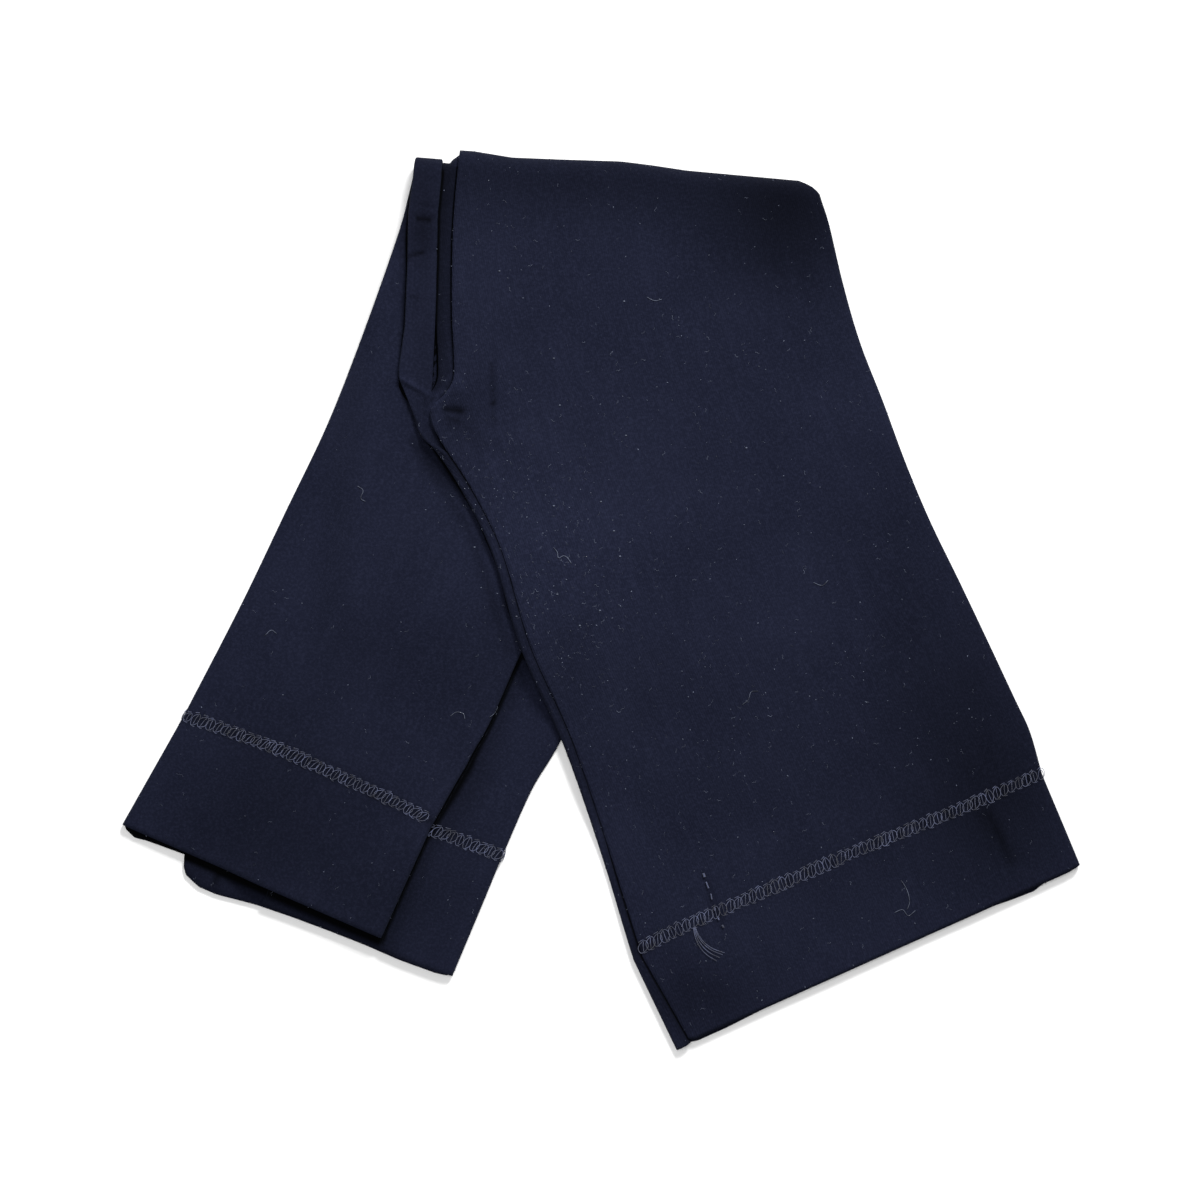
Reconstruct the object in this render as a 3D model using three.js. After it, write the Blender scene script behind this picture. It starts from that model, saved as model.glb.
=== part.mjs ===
// Child's knee-length leggings in navy cotton jersey, folded under at the hip and laid flat,
// with the right leg over the left one. Millimetres, +Z up, underside at z = 0.
import * as THREE from 'three';

// Driving dimensions
const CLOTH = 1.0; // one layer of jersey
const HEM_CLOTH = 1.4; // turned-up hem, two layers pressed together
const GAP = 0.3; // between layers that touch, and at seams
const LAYER = CLOTH + GAP;
const WAISTBAND_DEPTH = 30;
const BODY_UNDER = 88; // body folded underneath, without the waistband
const PLEAT_DEPTH = 34; // inner pleat of the left leg
const SEAM_ROLL = 1.6; // the back of the right leg rolls this far over its edge, to the inseam
const FLAP = 5; // what the left leg's upper layer turns back at its right edge
const LEG_ROWS = 24;
const COLUMNS = 11;

// Heights, from the floor up: two body layers, the inner body, then the left leg and the right
const INNER_BODY = 2 * LAYER;
const UNDER_STACK = 4 * LAYER; // all that lies under the left leg at the hip
const FOLD_HEIGHT = UNDER_STACK - GAP / 2; // axis that the hip is folded round
const FOLD_LENGTH = 11; // cloth taken up by the fold

const NAVY = 0x1d2132;
const NAVY_HEM = 0x181b28;
const NAVY_RISE = 0x232840;

const point = (x, y) => new THREE.Vector3(x, y, 0);
const edge = (columns, rows) => {
  const [x, y] = [columns.indexOf('x'), columns.indexOf('y')];
  return new THREE.CatmullRomCurve3(rows.map((row) => point(row[x], row[y])));
};

// Plan edges of each leg, from the hem's stitching up to the fold at the hip
const RIGHT_SEAM = edge(['x', 'y'], [
  [10.3, -102.1], [-8.3, -41.6], [-20, -13], [-28.3, 15], [-36, 30.7], [-42.9, 42.1],
  [-46.6, 51], [-43.4, 60], [-41.6, 69], [-42.1, 80], [-42.1, 96], [-41.6, 110], [-40.46, 123.07],
]);
const RIGHT_OUTER = edge(['x', 'y'], [
  [126, -49.9], [102.9, -0.1], [88, 37], [74.3, 71.3], [67.1, 97], [62.9, 113.7],
]);
const LEFT_INNER = edge(['x', 'y'], [
  [-119.4, -33.3], [-102.3, -0.1], [-90, 25.6], [-77.7, 51.3], [-67.4, 77], [-59.7, 98.4],
  [-56, 110], [-53.18, 123.32],
]);
const LEFT_OUTER = edge(['x', 'y'], [
  [-28, -73.6], [-18.9, -53.3], [-12.3, -42.4], [8, 0], [34.9, 60], [60.92, 112.97],
]);
// Hem edges: from each end of the stitching to the corner of the hem
const RIGHT_HEM_CORNERS = { inner: point(25.2, -125.1), outer: point(136.3, -75) };
const LEFT_HEM_CORNERS = { inner: point(-136.1, -64.2), outer: point(-42.3, -107.9) };

// Left leg's upper layer ends short of its lower one: distance by share of the leg's length
const UPPER_SHORT = [[-0.2, 23], [0, 22], [0.3, 19], [0.46, 19], [0.66, 1.5], [1, 1.5]];
const UPPER_TURN = [[0.36, 1], [0.46, 0]]; // how far its edge is turned back, 1 is right round
const UPPER_LIFT = [[0.5, 1], [0.66, 0]]; // how far the pleat lifts it
const PLEAT_SHOWN = [[0.4, 1], [0.56, 0]]; // length of the lower fold's upper layer

// The silhouette's wave along the fold at the hip
const FOLD_WAVE = [[-14, -0.8], [10, -0.3], [29, 0.4], [46, 0.9], [63, 0.2]];
const FOLD_START = point(-40.46, 123.07);
const FOLD_ANGLE = THREE.MathUtils.degToRad(-5.18);
const ALONG = point(Math.cos(FOLD_ANGLE), Math.sin(FOLD_ANGLE));
const ACROSS = point(-ALONG.y, ALONG.x);

const smooth = (x) => THREE.MathUtils.smoothstep(x, 0, 1);
const mix = THREE.MathUtils.lerp;

function lookUp(table, at) {
  if (at <= table[0][0]) return table[0][1];
  for (let i = 1; i < table.length; i++) {
    const [[x0, y0], [x1, y1]] = [table[i - 1], table[i]];
    if (at <= x1) return mix(y0, y1, (at - x0) / (x1 - x0));
  }
  return table.at(-1)[1];
}

// 1 on the left of the line from a to b and up to margin beyond it, then down to 0 over ramp
function shelf(p, a, b, margin, ramp) {
  const [dx, dy] = [b[0] - a[0], b[1] - a[1]];
  const inside = (dx * (p.y - a[1]) - dy * (p.x - a[0])) / Math.hypot(dx, dy);
  return smooth((inside + margin + ramp) / ramp);
}

const beyondFold = (p) => (p.x - FOLD_START.x) * ACROSS.x + (p.y - FOLD_START.y) * ACROSS.y;

// How much of the stack under the left leg is felt at a place: the body folded under
const UNDER = { topLeft: [-53.5, 124], low: [-64.5, 6.5], lowRight: [45, -3.5], topRight: [63.5, 114.5] };
function underBody(p) {
  if (beyondFold(p) > 0) return 1;
  return shelf(p, UNDER.topLeft, UNDER.low, 4, 16) * shelf(p, UNDER.low, UNDER.lowRight, 4, 35)
    * shelf(p, UNDER.lowRight, UNDER.topRight, 4, 22);
}

// The left leg's pleat: 1 over it, falling away on each side
const PLEAT_LINE = { low: [-45.7, -63.3], high: [-13.5, 1.1] };
const PLEAT_AXIS = [0.447, 0.894];
function overPleat(p) {
  const { low, high } = PLEAT_LINE;
  const left = low.map((v, i) => v + [-PLEAT_AXIS[1], PLEAT_AXIS[0]][i] * (PLEAT_DEPTH + 1));
  const leftHigh = left.map((v, i) => v + PLEAT_AXIS[i]);
  return shelf(p, low, high, 4, 14) * shelf(p, leftHigh, left, 1, 16);
}
function pleatEnd(p) {
  const { low } = PLEAT_LINE;
  const along = (p.x - low[0]) * PLEAT_AXIS[0] + (p.y - low[1]) * PLEAT_AXIS[1];
  return 1 - smooth((along - 112) / 38);
}

const leftBase = (p) => UNDER_STACK * underBody(p);
function rightBase(p) {
  if (beyondFold(p) > 0) return UNDER_STACK + 2 * LAYER;
  const overLeft = shelf(p, [-42.3, -107.9], [61, 113.87], 6, 20);
  return leftBase(p) + 2 * LAYER * (overLeft + overPleat(p) * pleatEnd(p));
}

// Turns what lies beyond the hip line over and under, then waves the fold a little
function foldUnder(v) {
  const q = beyondFold(v);
  const turn = THREE.MathUtils.clamp(q / FOLD_LENGTH, 0, 1) * Math.PI;
  const radius = v.z - FOLD_HEIGHT;
  const reach = q <= 0 ? q : radius * Math.sin(turn) - Math.max(q - FOLD_LENGTH, 0);
  const u = (v.x - FOLD_START.x) * ALONG.x + (v.y - FOLD_START.y) * ALONG.y;
  const wave = lookUp(FOLD_WAVE, u) * smooth((reach + 12) / 12);
  const folded = v.clone().addScaledVector(ACROSS, reach - q + wave);
  folded.z = FOLD_HEIGHT + radius * Math.cos(turn);
  return folded;
}

function meshOf(name, colour, vertices, faces) {
  const folded = vertices.map(foldUnder);
  let volume = 0;
  for (const [a, b, c] of faces) {
    volume += folded[a].dot(new THREE.Vector3().crossVectors(folded[b], folded[c]));
  }
  const turned = volume > 0 ? faces : faces.map(([a, b, c]) => [a, c, b]);
  const geometry = new THREE.BufferGeometry();
  geometry.setAttribute('position',
    new THREE.Float32BufferAttribute(folded.flatMap((v) => [v.x, v.y, v.z]), 3));
  geometry.setIndex(turned.flat());
  geometry.computeVertexNormals();
  const material = new THREE.MeshStandardMaterial({ color: colour, roughness: 0.95, metalness: 0 });
  const mesh = new THREE.Mesh(geometry, material);
  mesh.name = name;
  return mesh;
}

// A wall of cloth on both sides of a grid of points, closed round its four edges
function wall(name, colour, grid, thickness) {
  const [rows, columns] = [grid.length, grid[0].length];
  const at = (i, j) => grid[THREE.MathUtils.clamp(i, 0, rows - 1)][THREE.MathUtils.clamp(j, 0, columns - 1)];
  const vertices = [];
  for (const side of [1, -1]) {
    for (let i = 0; i < rows; i++) {
      for (let j = 0; j < columns; j++) {
        const down = at(i + 1, j).clone().sub(at(i - 1, j));
        const over = at(i, j + 1).clone().sub(at(i, j - 1));
        const normal = down.cross(over).normalize();
        vertices.push(at(i, j).clone().addScaledVector(normal, side * thickness / 2));
      }
    }
  }
  const id = (i, j, side) => side * rows * columns + i * columns + j;
  const faces = [];
  const quad = (a, b, c, d) => faces.push([a, b, c], [a, c, d]);
  for (let i = 0; i < rows - 1; i++) {
    for (let j = 0; j < columns - 1; j++) {
      quad(id(i, j, 0), id(i + 1, j, 0), id(i + 1, j + 1, 0), id(i, j + 1, 0));
      quad(id(i, j + 1, 1), id(i + 1, j + 1, 1), id(i + 1, j, 1), id(i, j, 1));
    }
    quad(id(i, 0, 1), id(i + 1, 0, 1), id(i + 1, 0, 0), id(i, 0, 0));
    quad(id(i, columns - 1, 0), id(i + 1, columns - 1, 0), id(i + 1, columns - 1, 1), id(i, columns - 1, 1));
  }
  for (let j = 0; j < columns - 1; j++) {
    quad(id(0, j, 0), id(0, j + 1, 0), id(0, j + 1, 1), id(0, j, 1));
    quad(id(rows - 1, j, 1), id(rows - 1, j + 1, 1), id(rows - 1, j + 1, 0), id(rows - 1, j, 0));
  }
  return meshOf(name, colour, vertices, faces);
}

// A solid through closed rings of points, with a fan at each end
function loft(name, colour, rings) {
  const n = rings[0].length;
  const vertices = rings.flat();
  const faces = [];
  for (let i = 0; i < rings.length - 1; i++) {
    for (let j = 0; j < n; j++) {
      const k = (j + 1) % n;
      faces.push([i * n + j, (i + 1) * n + j, (i + 1) * n + k], [i * n + j, (i + 1) * n + k, i * n + k]);
    }
  }
  for (const [i, flip] of [[0, false], [rings.length - 1, true]]) {
    const centre = rings[i].reduce((sum, v) => sum.add(v), new THREE.Vector3()).divideScalar(n);
    vertices.push(centre);
    const c = vertices.length - 1;
    for (let j = 0; j < n; j++) {
      const pair = [i * n + j, i * n + (j + 1) % n];
      faces.push(flip ? [c, ...pair.reverse()] : [c, ...pair]);
    }
  }
  return meshOf(name, colour, vertices, faces);
}

// A ring round stacked layers: flat above and below, each layer's edge a round bump
function layeredRing(a, b, bottom, top, layers, columns, base) {
  const over = b.clone().sub(a).normalize();
  const width = a.distanceTo(b);
  const height = (top - bottom) / layers;
  const inset = Math.min(0.45, height / 2);
  const put = (d, z) => {
    const p = a.clone().addScaledVector(over, d);
    return new THREE.Vector3(p.x, p.y, z + base(p));
  };
  const ring = [];
  for (let j = 1; j < columns; j++) ring.push(put(width * j / columns, bottom));
  for (let k = 0; k < layers; k++) {
    const z = bottom + k * height;
    ring.push(put(width - inset, z + 0.02 * (k > 0)), put(width, z + height / 2));
  }
  ring.push(put(width - inset, top));
  for (let j = columns - 1; j > 0; j--) ring.push(put(width * j / columns, top));
  for (let k = layers; k > 0; k--) {
    const z = bottom + k * height;
    ring.push(put(inset, z - 0.02 * (k < layers)), put(0, z - height / 2));
  }
  ring.push(put(inset, bottom));
  return ring;
}

// Heights of the middle of each layer. Next to a hem the leg rises to lie flush with it.
function levels(thickness, nearHem) {
  const plain = [0, 1, 2, 3].map((k) => thickness / 2 + k * (thickness + GAP));
  const flush = HEM_CLOTH - CLOTH;
  const raised = [plain[0], plain[1] + 2 * flush, plain[2] + 2 * flush, plain[3] + 4 * flush];
  return plain.map((z, k) => mix(z, raised[k], nearHem));
}

const HALF_TURN = [0.25, 0.5, 0.75];

// Half a turn at a fold, between two heights
function fold(put, centre, from, to, outward) {
  const [middle, radius] = [(from + to) / 2, (to - from) / 2];
  return HALF_TURN.map((share) => {
    const angle = Math.PI * (share - 0.5);
    return put(centre + outward * Math.abs(radius) * Math.cos(angle), middle + radius * Math.sin(angle));
  });
}

function placer(a, b, base) {
  const over = b.clone().sub(a).normalize();
  return (d, z) => {
    const p = a.clone().addScaledVector(over, d);
    return new THREE.Vector3(p.x, p.y, z + base(p));
  };
}

// Right leg: a panel from the inseam on top, round the outer edge, along the floor and back up to
// the inseam. From the crotch up its lower layer lies flat and shows beside the upper one.
function rightSection(seam, outer, thickness, nearHem, rolled) {
  const z = levels(thickness, nearHem);
  const put = placer(seam, outer, rightBase);
  const turnAt = seam.distanceTo(outer) - (z[1] - z[0]) / 2 - thickness / 2;
  const columns = Array.from({ length: COLUMNS + 1 }, (_, k) => turnAt * k / COLUMNS);
  const rollAt = mix(-0.2, -SEAM_ROLL - GAP / 2, rolled);
  const [radius, angle] = [(z[1] - z[0]) / 2, Math.PI * rolled];
  const roll = [0.25, 0.5, 0.75, 1].map((share) => {
    const a = angle * share;
    const arc = Math.PI * radius * share;
    const bent = rolled > 0.02 ? [arc * Math.sin(a) / a, arc * (1 - Math.cos(a)) / a] : [arc, 0];
    return put(rollAt - bent[0], z[0] + bent[1]);
  });
  const last = rolled > 0.02 ? Math.PI * radius / angle : 0;
  const tail = mix(1, SEAM_ROLL, rolled);
  const end = rolled > 0.02 ? [last * Math.sin(angle), last * (1 - Math.cos(angle))] : [Math.PI * radius, 0];
  roll.push(put(rollAt - end[0] - tail * Math.cos(angle), z[0] + end[1] + tail * Math.sin(angle)));
  return [
    ...columns.map((d) => put(d, z[1])),
    ...fold(put, turnAt, z[1], z[0], 1),
    ...columns.slice().reverse().map((d) => put(d, z[0])),
    ...roll,
  ];
}

function rightLegRows() {
  const rows = [];
  for (let i = 0; i <= LEG_ROWS; i++) {
    const f = i / LEG_ROWS;
    const seam = RIGHT_SEAM.getPointAt(f);
    const rolled = 1 - smooth((f - 0.63) / 0.1);
    rows.push(rightSection(seam, RIGHT_OUTER.getPointAt(f), CLOTH, 1 - smooth(f * 8), rolled));
  }
  const outerEnd = RIGHT_OUTER.getPointAt(1);
  for (const q of [2.2, 4.4, 6.6, 8.8, FOLD_LENGTH, 30, 60, FOLD_LENGTH + BODY_UNDER]) {
    const inset = 3 * Math.sin(Math.PI * Math.min(q / FOLD_LENGTH, 1)) ** 2;
    const seam = FOLD_START.clone().addScaledVector(ACROSS, q);
    const outer = outerEnd.clone().addScaledVector(ACROSS, q).addScaledVector(ALONG, -0.06 * q - inset);
    rows.push(rightSection(seam, outer, CLOTH, 0, 0));
  }
  return rows;
}

// The hem's lower layer reaches a little past its upper one, by the distance given
function hemRows(section, start, end, gapShare, pastUpper) {
  return [gapShare, 0.35, 0.7, 1].map((f) => {
    const [a, b] = ['inner', 'outer'].map((k) => start[k].clone().lerp(end[k], f));
    const down = end.inner.clone().sub(start.inner).normalize();
    return section(a, b, f).map((v, j) => v.addScaledVector(down, pastUpper(j) * f * f));
  });
}

function rightHem() {
  const start = { inner: RIGHT_SEAM.getPointAt(0), outer: RIGHT_OUTER.getPointAt(0) };
  const lower = COLUMNS + 5;
  const past = (j) => (j < lower ? 0 : 1.8 * smooth((j - lower) / 2));
  const rows = hemRows((a, b) => rightSection(a, b, HEM_CLOTH, 0, 1), start, RIGHT_HEM_CORNERS, 0.012, past);
  return wall('right_hem', NAVY_HEM, rows, HEM_CLOTH);
}

// Left leg: its lower layer turns up at the right into the pleat, and its upper layer, lifted by
// the pleat, ends in a turned-back edge short of it.
function leftSection(inner, outer, f, thickness, nearHem) {
  const z = levels(thickness, nearHem);
  const put = placer(inner, outer, leftBase);
  const turn = (z[1] - z[0] + thickness) / 2;
  const outerAt = inner.distanceTo(outer) - turn;
  const upperEnd = inner.distanceTo(outer) - lookUp(UPPER_SHORT, f);
  const [lift, turned] = [lookUp(UPPER_LIFT, f), lookUp(UPPER_TURN, f)];
  const pleat = (lookUp(UPPER_SHORT, 0) + PLEAT_DEPTH) * lookUp(PLEAT_SHOWN, f);
  const columns = Array.from({ length: COLUMNS + 1 }, (_, k) => turn + (outerAt - turn) * k / COLUMNS);
  const shared = columns.slice(0, COLUMNS - 2);
  const lastShared = shared.at(-1);
  const upper = [...shared, ...[1 / 3, 2 / 3, 1].map((s) => mix(lastShared, upperEnd - turn, s))];
  const upperHeight = (d) => {
    const overIt = smooth((d - (upperEnd - PLEAT_DEPTH - 18)) / 16);
    return mix(z[1], z[3], overIt * lift);
  };
  const [radius, angle] = [(z[3] - z[2]) / 2, Math.PI * turned];
  const top = upperHeight(upperEnd);
  const curl = [0.25, 0.5, 0.75, 1].map((share) => {
    const a = Math.max(angle * share, 1e-3);
    const arc = Math.PI * radius * share;
    return [upperEnd - turn + arc * Math.sin(a) / a, top - arc * (1 - Math.cos(a)) / a];
  });
  const end = curl.at(-1);
  curl.push([end[0] + FLAP * turned * Math.cos(angle) + 0.4, end[1] - FLAP * turned * Math.sin(angle)]);
  return [
    ...[0, 0.25, 0.5, 0.75].map((s) => put(outerAt - pleat * (1 - s) - 0.5, z[1])),
    put(outerAt, z[1]),
    ...fold(put, outerAt, z[1], z[0], 1),
    ...columns.slice().reverse().map((d) => put(d, z[0])),
    ...fold(put, turn, z[0], z[1], -1),
    ...upper.map((d) => put(d, upperHeight(d))),
    ...curl.map(([d, height]) => put(d, height)),
  ];
}

function leftLegRows() {
  return Array.from({ length: LEG_ROWS + 1 }, (_, i) => {
    const f = i / LEG_ROWS;
    return leftSection(LEFT_INNER.getPointAt(f), LEFT_OUTER.getPointAt(f), f, CLOTH, 1 - smooth(f * 7));
  });
}

function leftHem() {
  const start = { inner: LEFT_INNER.getPointAt(0), outer: LEFT_OUTER.getPointAt(0) };
  const lower = 8 + COLUMNS;
  const past = (j) => {
    if (j > lower + 3) return 0;
    return j > lower - 2 ? 1.2 : 5.5;
  };
  const section = (a, b, f) => leftSection(a, b, -0.2 * f, HEM_CLOTH, 0);
  return wall('left_hem', NAVY_HEM, hemRows(section, start, LEFT_HEM_CORNERS, 0.01, past), HEM_CLOTH);
}

// The pleat's own turned layer, between the left leg's lower fold and its upper layer
function leftPleat() {
  const rings = [];
  for (let i = 0; i <= 9; i++) {
    const f = mix(0.002, 0.38, i / 9);
    const [inner, outer] = [LEFT_INNER.getPointAt(f), LEFT_OUTER.getPointAt(f)];
    const z = levels(CLOTH, 1 - smooth(f * 7));
    const over = outer.clone().sub(inner).normalize();
    const right = outer.clone().addScaledVector(over, -lookUp(UPPER_SHORT, f) - FLAP - 2.6);
    const left = right.clone().addScaledVector(over, FLAP + 3.5 - PLEAT_DEPTH);
    rings.push(layeredRing(left, right, z[1] + CLOTH / 2 + GAP, z[2] + CLOTH / 2, 1, 4, leftBase));
  }
  return loft('left_pleat', NAVY, rings);
}

// The rest of the left half, inside the fold at the hip and underneath: two layers in one solid
function leftBody() {
  const inner = LEFT_INNER.getPointAt(1);
  const outer = LEFT_OUTER.getPointAt(1);
  const rings = [1.2, 2.2, 4.4, 6.6, 8.8, FOLD_LENGTH, 30, 60, FOLD_LENGTH + BODY_UNDER].map((q) => {
    const a = inner.clone().addScaledVector(ACROSS, q);
    const b = outer.clone().addScaledVector(ACROSS, q).addScaledVector(ALONG, -0.06 * q - 1);
    return layeredRing(a, b, UNDER_STACK, UNDER_STACK + INNER_BODY - 2 * GAP, 2, 9, () => 0);
  });
  return loft('left_body', NAVY, rings);
}

// Elastic casing at the end of the folded body, four layers in one solid
function waistband() {
  const start = FOLD_LENGTH + BODY_UNDER + GAP;
  const rings = [0, 0.1, 0.9, 1].map((s) => {
    const q = start + s * WAISTBAND_DEPTH;
    const a = FOLD_START.clone().addScaledVector(ACROSS, q).addScaledVector(ALONG, -8);
    const b = FOLD_START.clone().addScaledVector(ACROSS, q).addScaledVector(ALONG, 96);
    const inset = s === 1 ? 0.6 : 0;
    return layeredRing(a, b, UNDER_STACK + inset, 2 * UNDER_STACK - GAP, 4, 6, () => 0);
  });
  return loft('waistband', NAVY_RISE, rings);
}

// Front rise of the left half: a folded strip on the left leg, from the crotch to the hip and over
const RISE = [
  { left: [-52.2, 47], right: [-50.6, 46.6], height: 0.9 },
  { left: [-54.6, 54], right: [-49.6, 52.5], height: 1.2 },
  { left: [-57.5, 62.5], right: [-48.6, 58.8], height: 1.8 },
  { left: [-56.6, 70], right: [-47.4, 68], height: 2.1 },
  { left: [-55.7, 78], right: [-47.0, 78], height: 2.1 },
  { left: [-54.9, 95.9], right: [-46.4, 95], height: 2.1 },
  { left: [-54.9, 110], right: [-46.1, 109], height: 2.1 },
  { left: [-53.4, 122.2], right: [-44.9, 121.4], height: 2 },
];
function leftRise() {
  const onLeg = (p) => leftBase(p) + 2 * LAYER;
  const strip = (a, b, height) => layeredRing(a, b, 0, height, 1, 3, onLeg);
  const rings = RISE.map(({ left, right, height }) => strip(point(...left), point(...right), height));
  for (const q of [0.5, 2.2, 4.4, 6.6, 8.8, FOLD_LENGTH, 30]) {
    const a = FOLD_START.clone().addScaledVector(ACROSS, q).addScaledVector(ALONG, -12.6);
    rings.push(strip(a, a.clone().addScaledVector(ALONG, 8), 2));
  }
  return loft('left_rise', NAVY_RISE, rings);
}

const leggings = new THREE.Group();
leggings.name = 'leggings';
leggings.add(
  wall('right_leg', NAVY, rightLegRows(), CLOTH),
  rightHem(),
  wall('left_leg', NAVY, leftLegRows(), CLOTH),
  leftHem(),
  leftPleat(),
  leftBody(),
  leftRise(),
  waistband(),
);

export default leggings;
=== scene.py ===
"""Child's three-quarter leggings in navy jersey, folded under at the hip and laid flat, right leg on top."""
import math

import bpy
import numpy as np
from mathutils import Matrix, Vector
from mathutils.bvhtree import BVHTree


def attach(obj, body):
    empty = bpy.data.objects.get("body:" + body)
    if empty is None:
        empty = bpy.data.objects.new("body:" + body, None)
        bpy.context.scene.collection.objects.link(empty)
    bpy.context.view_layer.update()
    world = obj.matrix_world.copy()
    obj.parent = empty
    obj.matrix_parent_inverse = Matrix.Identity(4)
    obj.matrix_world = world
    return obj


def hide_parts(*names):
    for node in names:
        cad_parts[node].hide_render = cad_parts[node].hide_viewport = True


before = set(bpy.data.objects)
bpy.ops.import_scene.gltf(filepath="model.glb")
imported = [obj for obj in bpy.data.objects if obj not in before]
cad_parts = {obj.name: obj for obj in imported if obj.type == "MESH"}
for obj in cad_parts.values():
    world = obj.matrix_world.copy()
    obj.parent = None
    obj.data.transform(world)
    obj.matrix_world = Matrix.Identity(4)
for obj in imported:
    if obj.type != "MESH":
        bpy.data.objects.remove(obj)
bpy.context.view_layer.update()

# Sizes of the garment, in millimetres
MM = 0.001
CLOTH, HEM_CLOTH, GAP = 1.0, 1.4, 0.3
LAYER = CLOTH + GAP
UNDER_STACK = 4 * LAYER
FOLD_HEIGHT = UNDER_STACK - GAP / 2
FOLD_LENGTH = 11  # of cloth over the fold at the hip
BODY_UNDER = 88  # how far the body reaches underneath, up to the waistband
WAISTBAND_DEPTH = 30
PLEAT_DEPTH = 34
SEAM_ROLL = 1.6  # how far the right panel rolls in at its seam
HEM_ROLL_LESS, HEM_ROLL_MORE = 0.6, 1.4  # by how much it differs at the top and the edge of the hem
HEM_STEP = 9  # how sharply the cloth thickens into its hem
FOLD_TAPER = 0.06  # how much a panel narrows with each millimetre past the fold
FLAP = 5  # how far the left leg's upper layer turns back under itself
LAYER_BULGE = 0.5  # how far a hidden layer's edge is rounded
STITCH_PITCH, STITCH_WIDTH, THREAD = 2.3, 3.3, 0.18
STITCH_LIFT, PRESSED_IN = 0.08, 0.35  # how high stitches lie, and how deep where the leg rests on them
STITCH_SHADE_REACH, STITCH_SHADE_DEPTH = 1.7, 0.52  # how far around them shade is painted on the cloth, and by what share
KNIT_PITCH = 0.645  # from one rib of the knitting to the next

# How finely the cloth is made: points across a layer, and rows along a leg, its hem and its fold
ACROSS_COUNT, LEG_COUNT, HEM_COUNT, FOLD_COUNT = 62, 150, 24, 14
TURN_COUNT, CURL_COUNT = 5, 6  # steps around a folded edge, and around an edge that curls in
LOWER_COUNT, UPPER_COUNT = 40, 100  # the left leg's pleated layer, and its upper one
RIGHT_TOP_COUNT = ACROSS_COUNT + TURN_COUNT - 1  # points of the right leg's upper layer and its turn
LEFT_LOWER_COUNT = LOWER_COUNT + ACROSS_COUNT + TURN_COUNT + 1  # points of the left leg's layers underneath
HEM_SHARE = 0.2  # the left hem's depth as a share of the leg, for its tables

share_across = np.linspace(0, 1, ACROSS_COUNT)
share_across = 0.4 * share_across + 0.6 * share_across ** 1.7  # closer together by the seam
CROTCH_SHARE, CROTCH_REACH = 0.7, 0.05  # how far up the leg's seam the crotch lies, and what it takes up
CROTCH_CROWDING = 2.2  # how many more rows there are for it

NEARLY_FLAT = 1e-3  # an edge's bend, in radians, where it doesn't curl

FOLD_START = np.array([-40.46, 123.07])
FOLD_ANGLE = math.radians(-5.18)
ALONG = np.array([math.cos(FOLD_ANGLE), math.sin(FOLD_ANGLE)])
ACROSS = np.array([-ALONG[1], ALONG[0]])

RIGHT_HEM = {"inner": (25.9, -126.4), "outer": (137.8, -76.3)}
LEFT_HEM = {"inner": (-136.9, -64.3), "outer": (-41.2, -105.9)}
# By share of the left leg's length: how far its upper layer stops short of its outer edge, how much that
# layer's edge turns back, how much it lies over the pleat, and how much of the pleat there is
UPPER_SHORT = ([-0.2, 0, 0.1, 0.26, 0.46, 0.66, 1], [23.2, 22, 19.9, 21.4, 21.4, 1.5, 1.5])
UPPER_TURN = ([0.36, 0.46], [1, 0])
UPPER_LIFT = ([0.5, 0.66], [1, 0])
PLEAT_SHOWN = ([0.4, 0.56], [1, 0])
# By distance along the fold: how far its edge waves outwards
FOLD_WAVE = ([-14, -2.6, -0.8, 4, 15, 29, 46, 55, 65], [-2.4, -2.3, 0.4, 0.5, -0.3, 0.4, 1.4, 1.1, 0.5])
CORNER_INSET = 5.5  # how far the fold's right corner is rounded
LOWER_HEM = (  # by distance from the left leg's hem corner, how far its lower layers show beyond the hem
    [0, 5, 8.3, 21, 21.4, 22.5, 27.9, 33.5, 44.6, 55.6, 66.6, 77.7, 88.7, 99.7, 103.5],
    [0.3, 2.1, 1.5, 0.7, 4.1, 5.8, 7.7, 7.7, 5.9, 5, 4.4, 4, 4, 3.3, 2.5],
)
LOWER_RIGHT_HEM = (  # the same for the right leg, by distance from its outer corner
    [0, 12, 13.4, 23, 27, 100, 112],
    [-0.3, -0.3, 1.1, 0.6, 0.15, 0.15, 0.7],
)
# Corners of the body folded underneath, and the pleat's low end and direction
UNDER = {"top_left": (-53.5, 124), "low": (-64.5, 6.5), "low_right": (45, -3.5), "top_right": (63.5, 114.5)}
PLEAT_LOW, PLEAT_AXIS = np.array([-45.7, -63.3]), np.array([0.447, 0.894])
LEFT_EDGE = ((-42.3, -107.9), (61, 113.87))  # the left leg's outer edge, as a straight line


def smooth(x):
    x = np.clip(x, 0, 1)
    return x * x * (3 - 2 * x)


def mix(a, b, t):
    return a + (b - a) * t


def bell(x, middle, reach):
    return np.exp(-(((x - middle) / reach) ** 2))


def unit(direction):
    return direction / np.linalg.norm(direction)


def distances(line):
    """How far along a line each of its points lies."""
    return np.concatenate([[0], np.cumsum(np.linalg.norm(np.diff(line, axis=0), axis=1))])


def rows_along():
    """Shares of a leg's length at which it has a row: closer together by the crotch."""
    share = np.linspace(0, 1, 400)
    crowding = np.cumsum(1 + CROTCH_CROWDING * bell(share, CROTCH_SHARE, CROTCH_REACH))
    crowding = (crowding - crowding[0]) / (crowding[-1] - crowding[0])
    return np.interp(np.linspace(0, 1, LEG_COUNT + 1), crowding, share)


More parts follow.
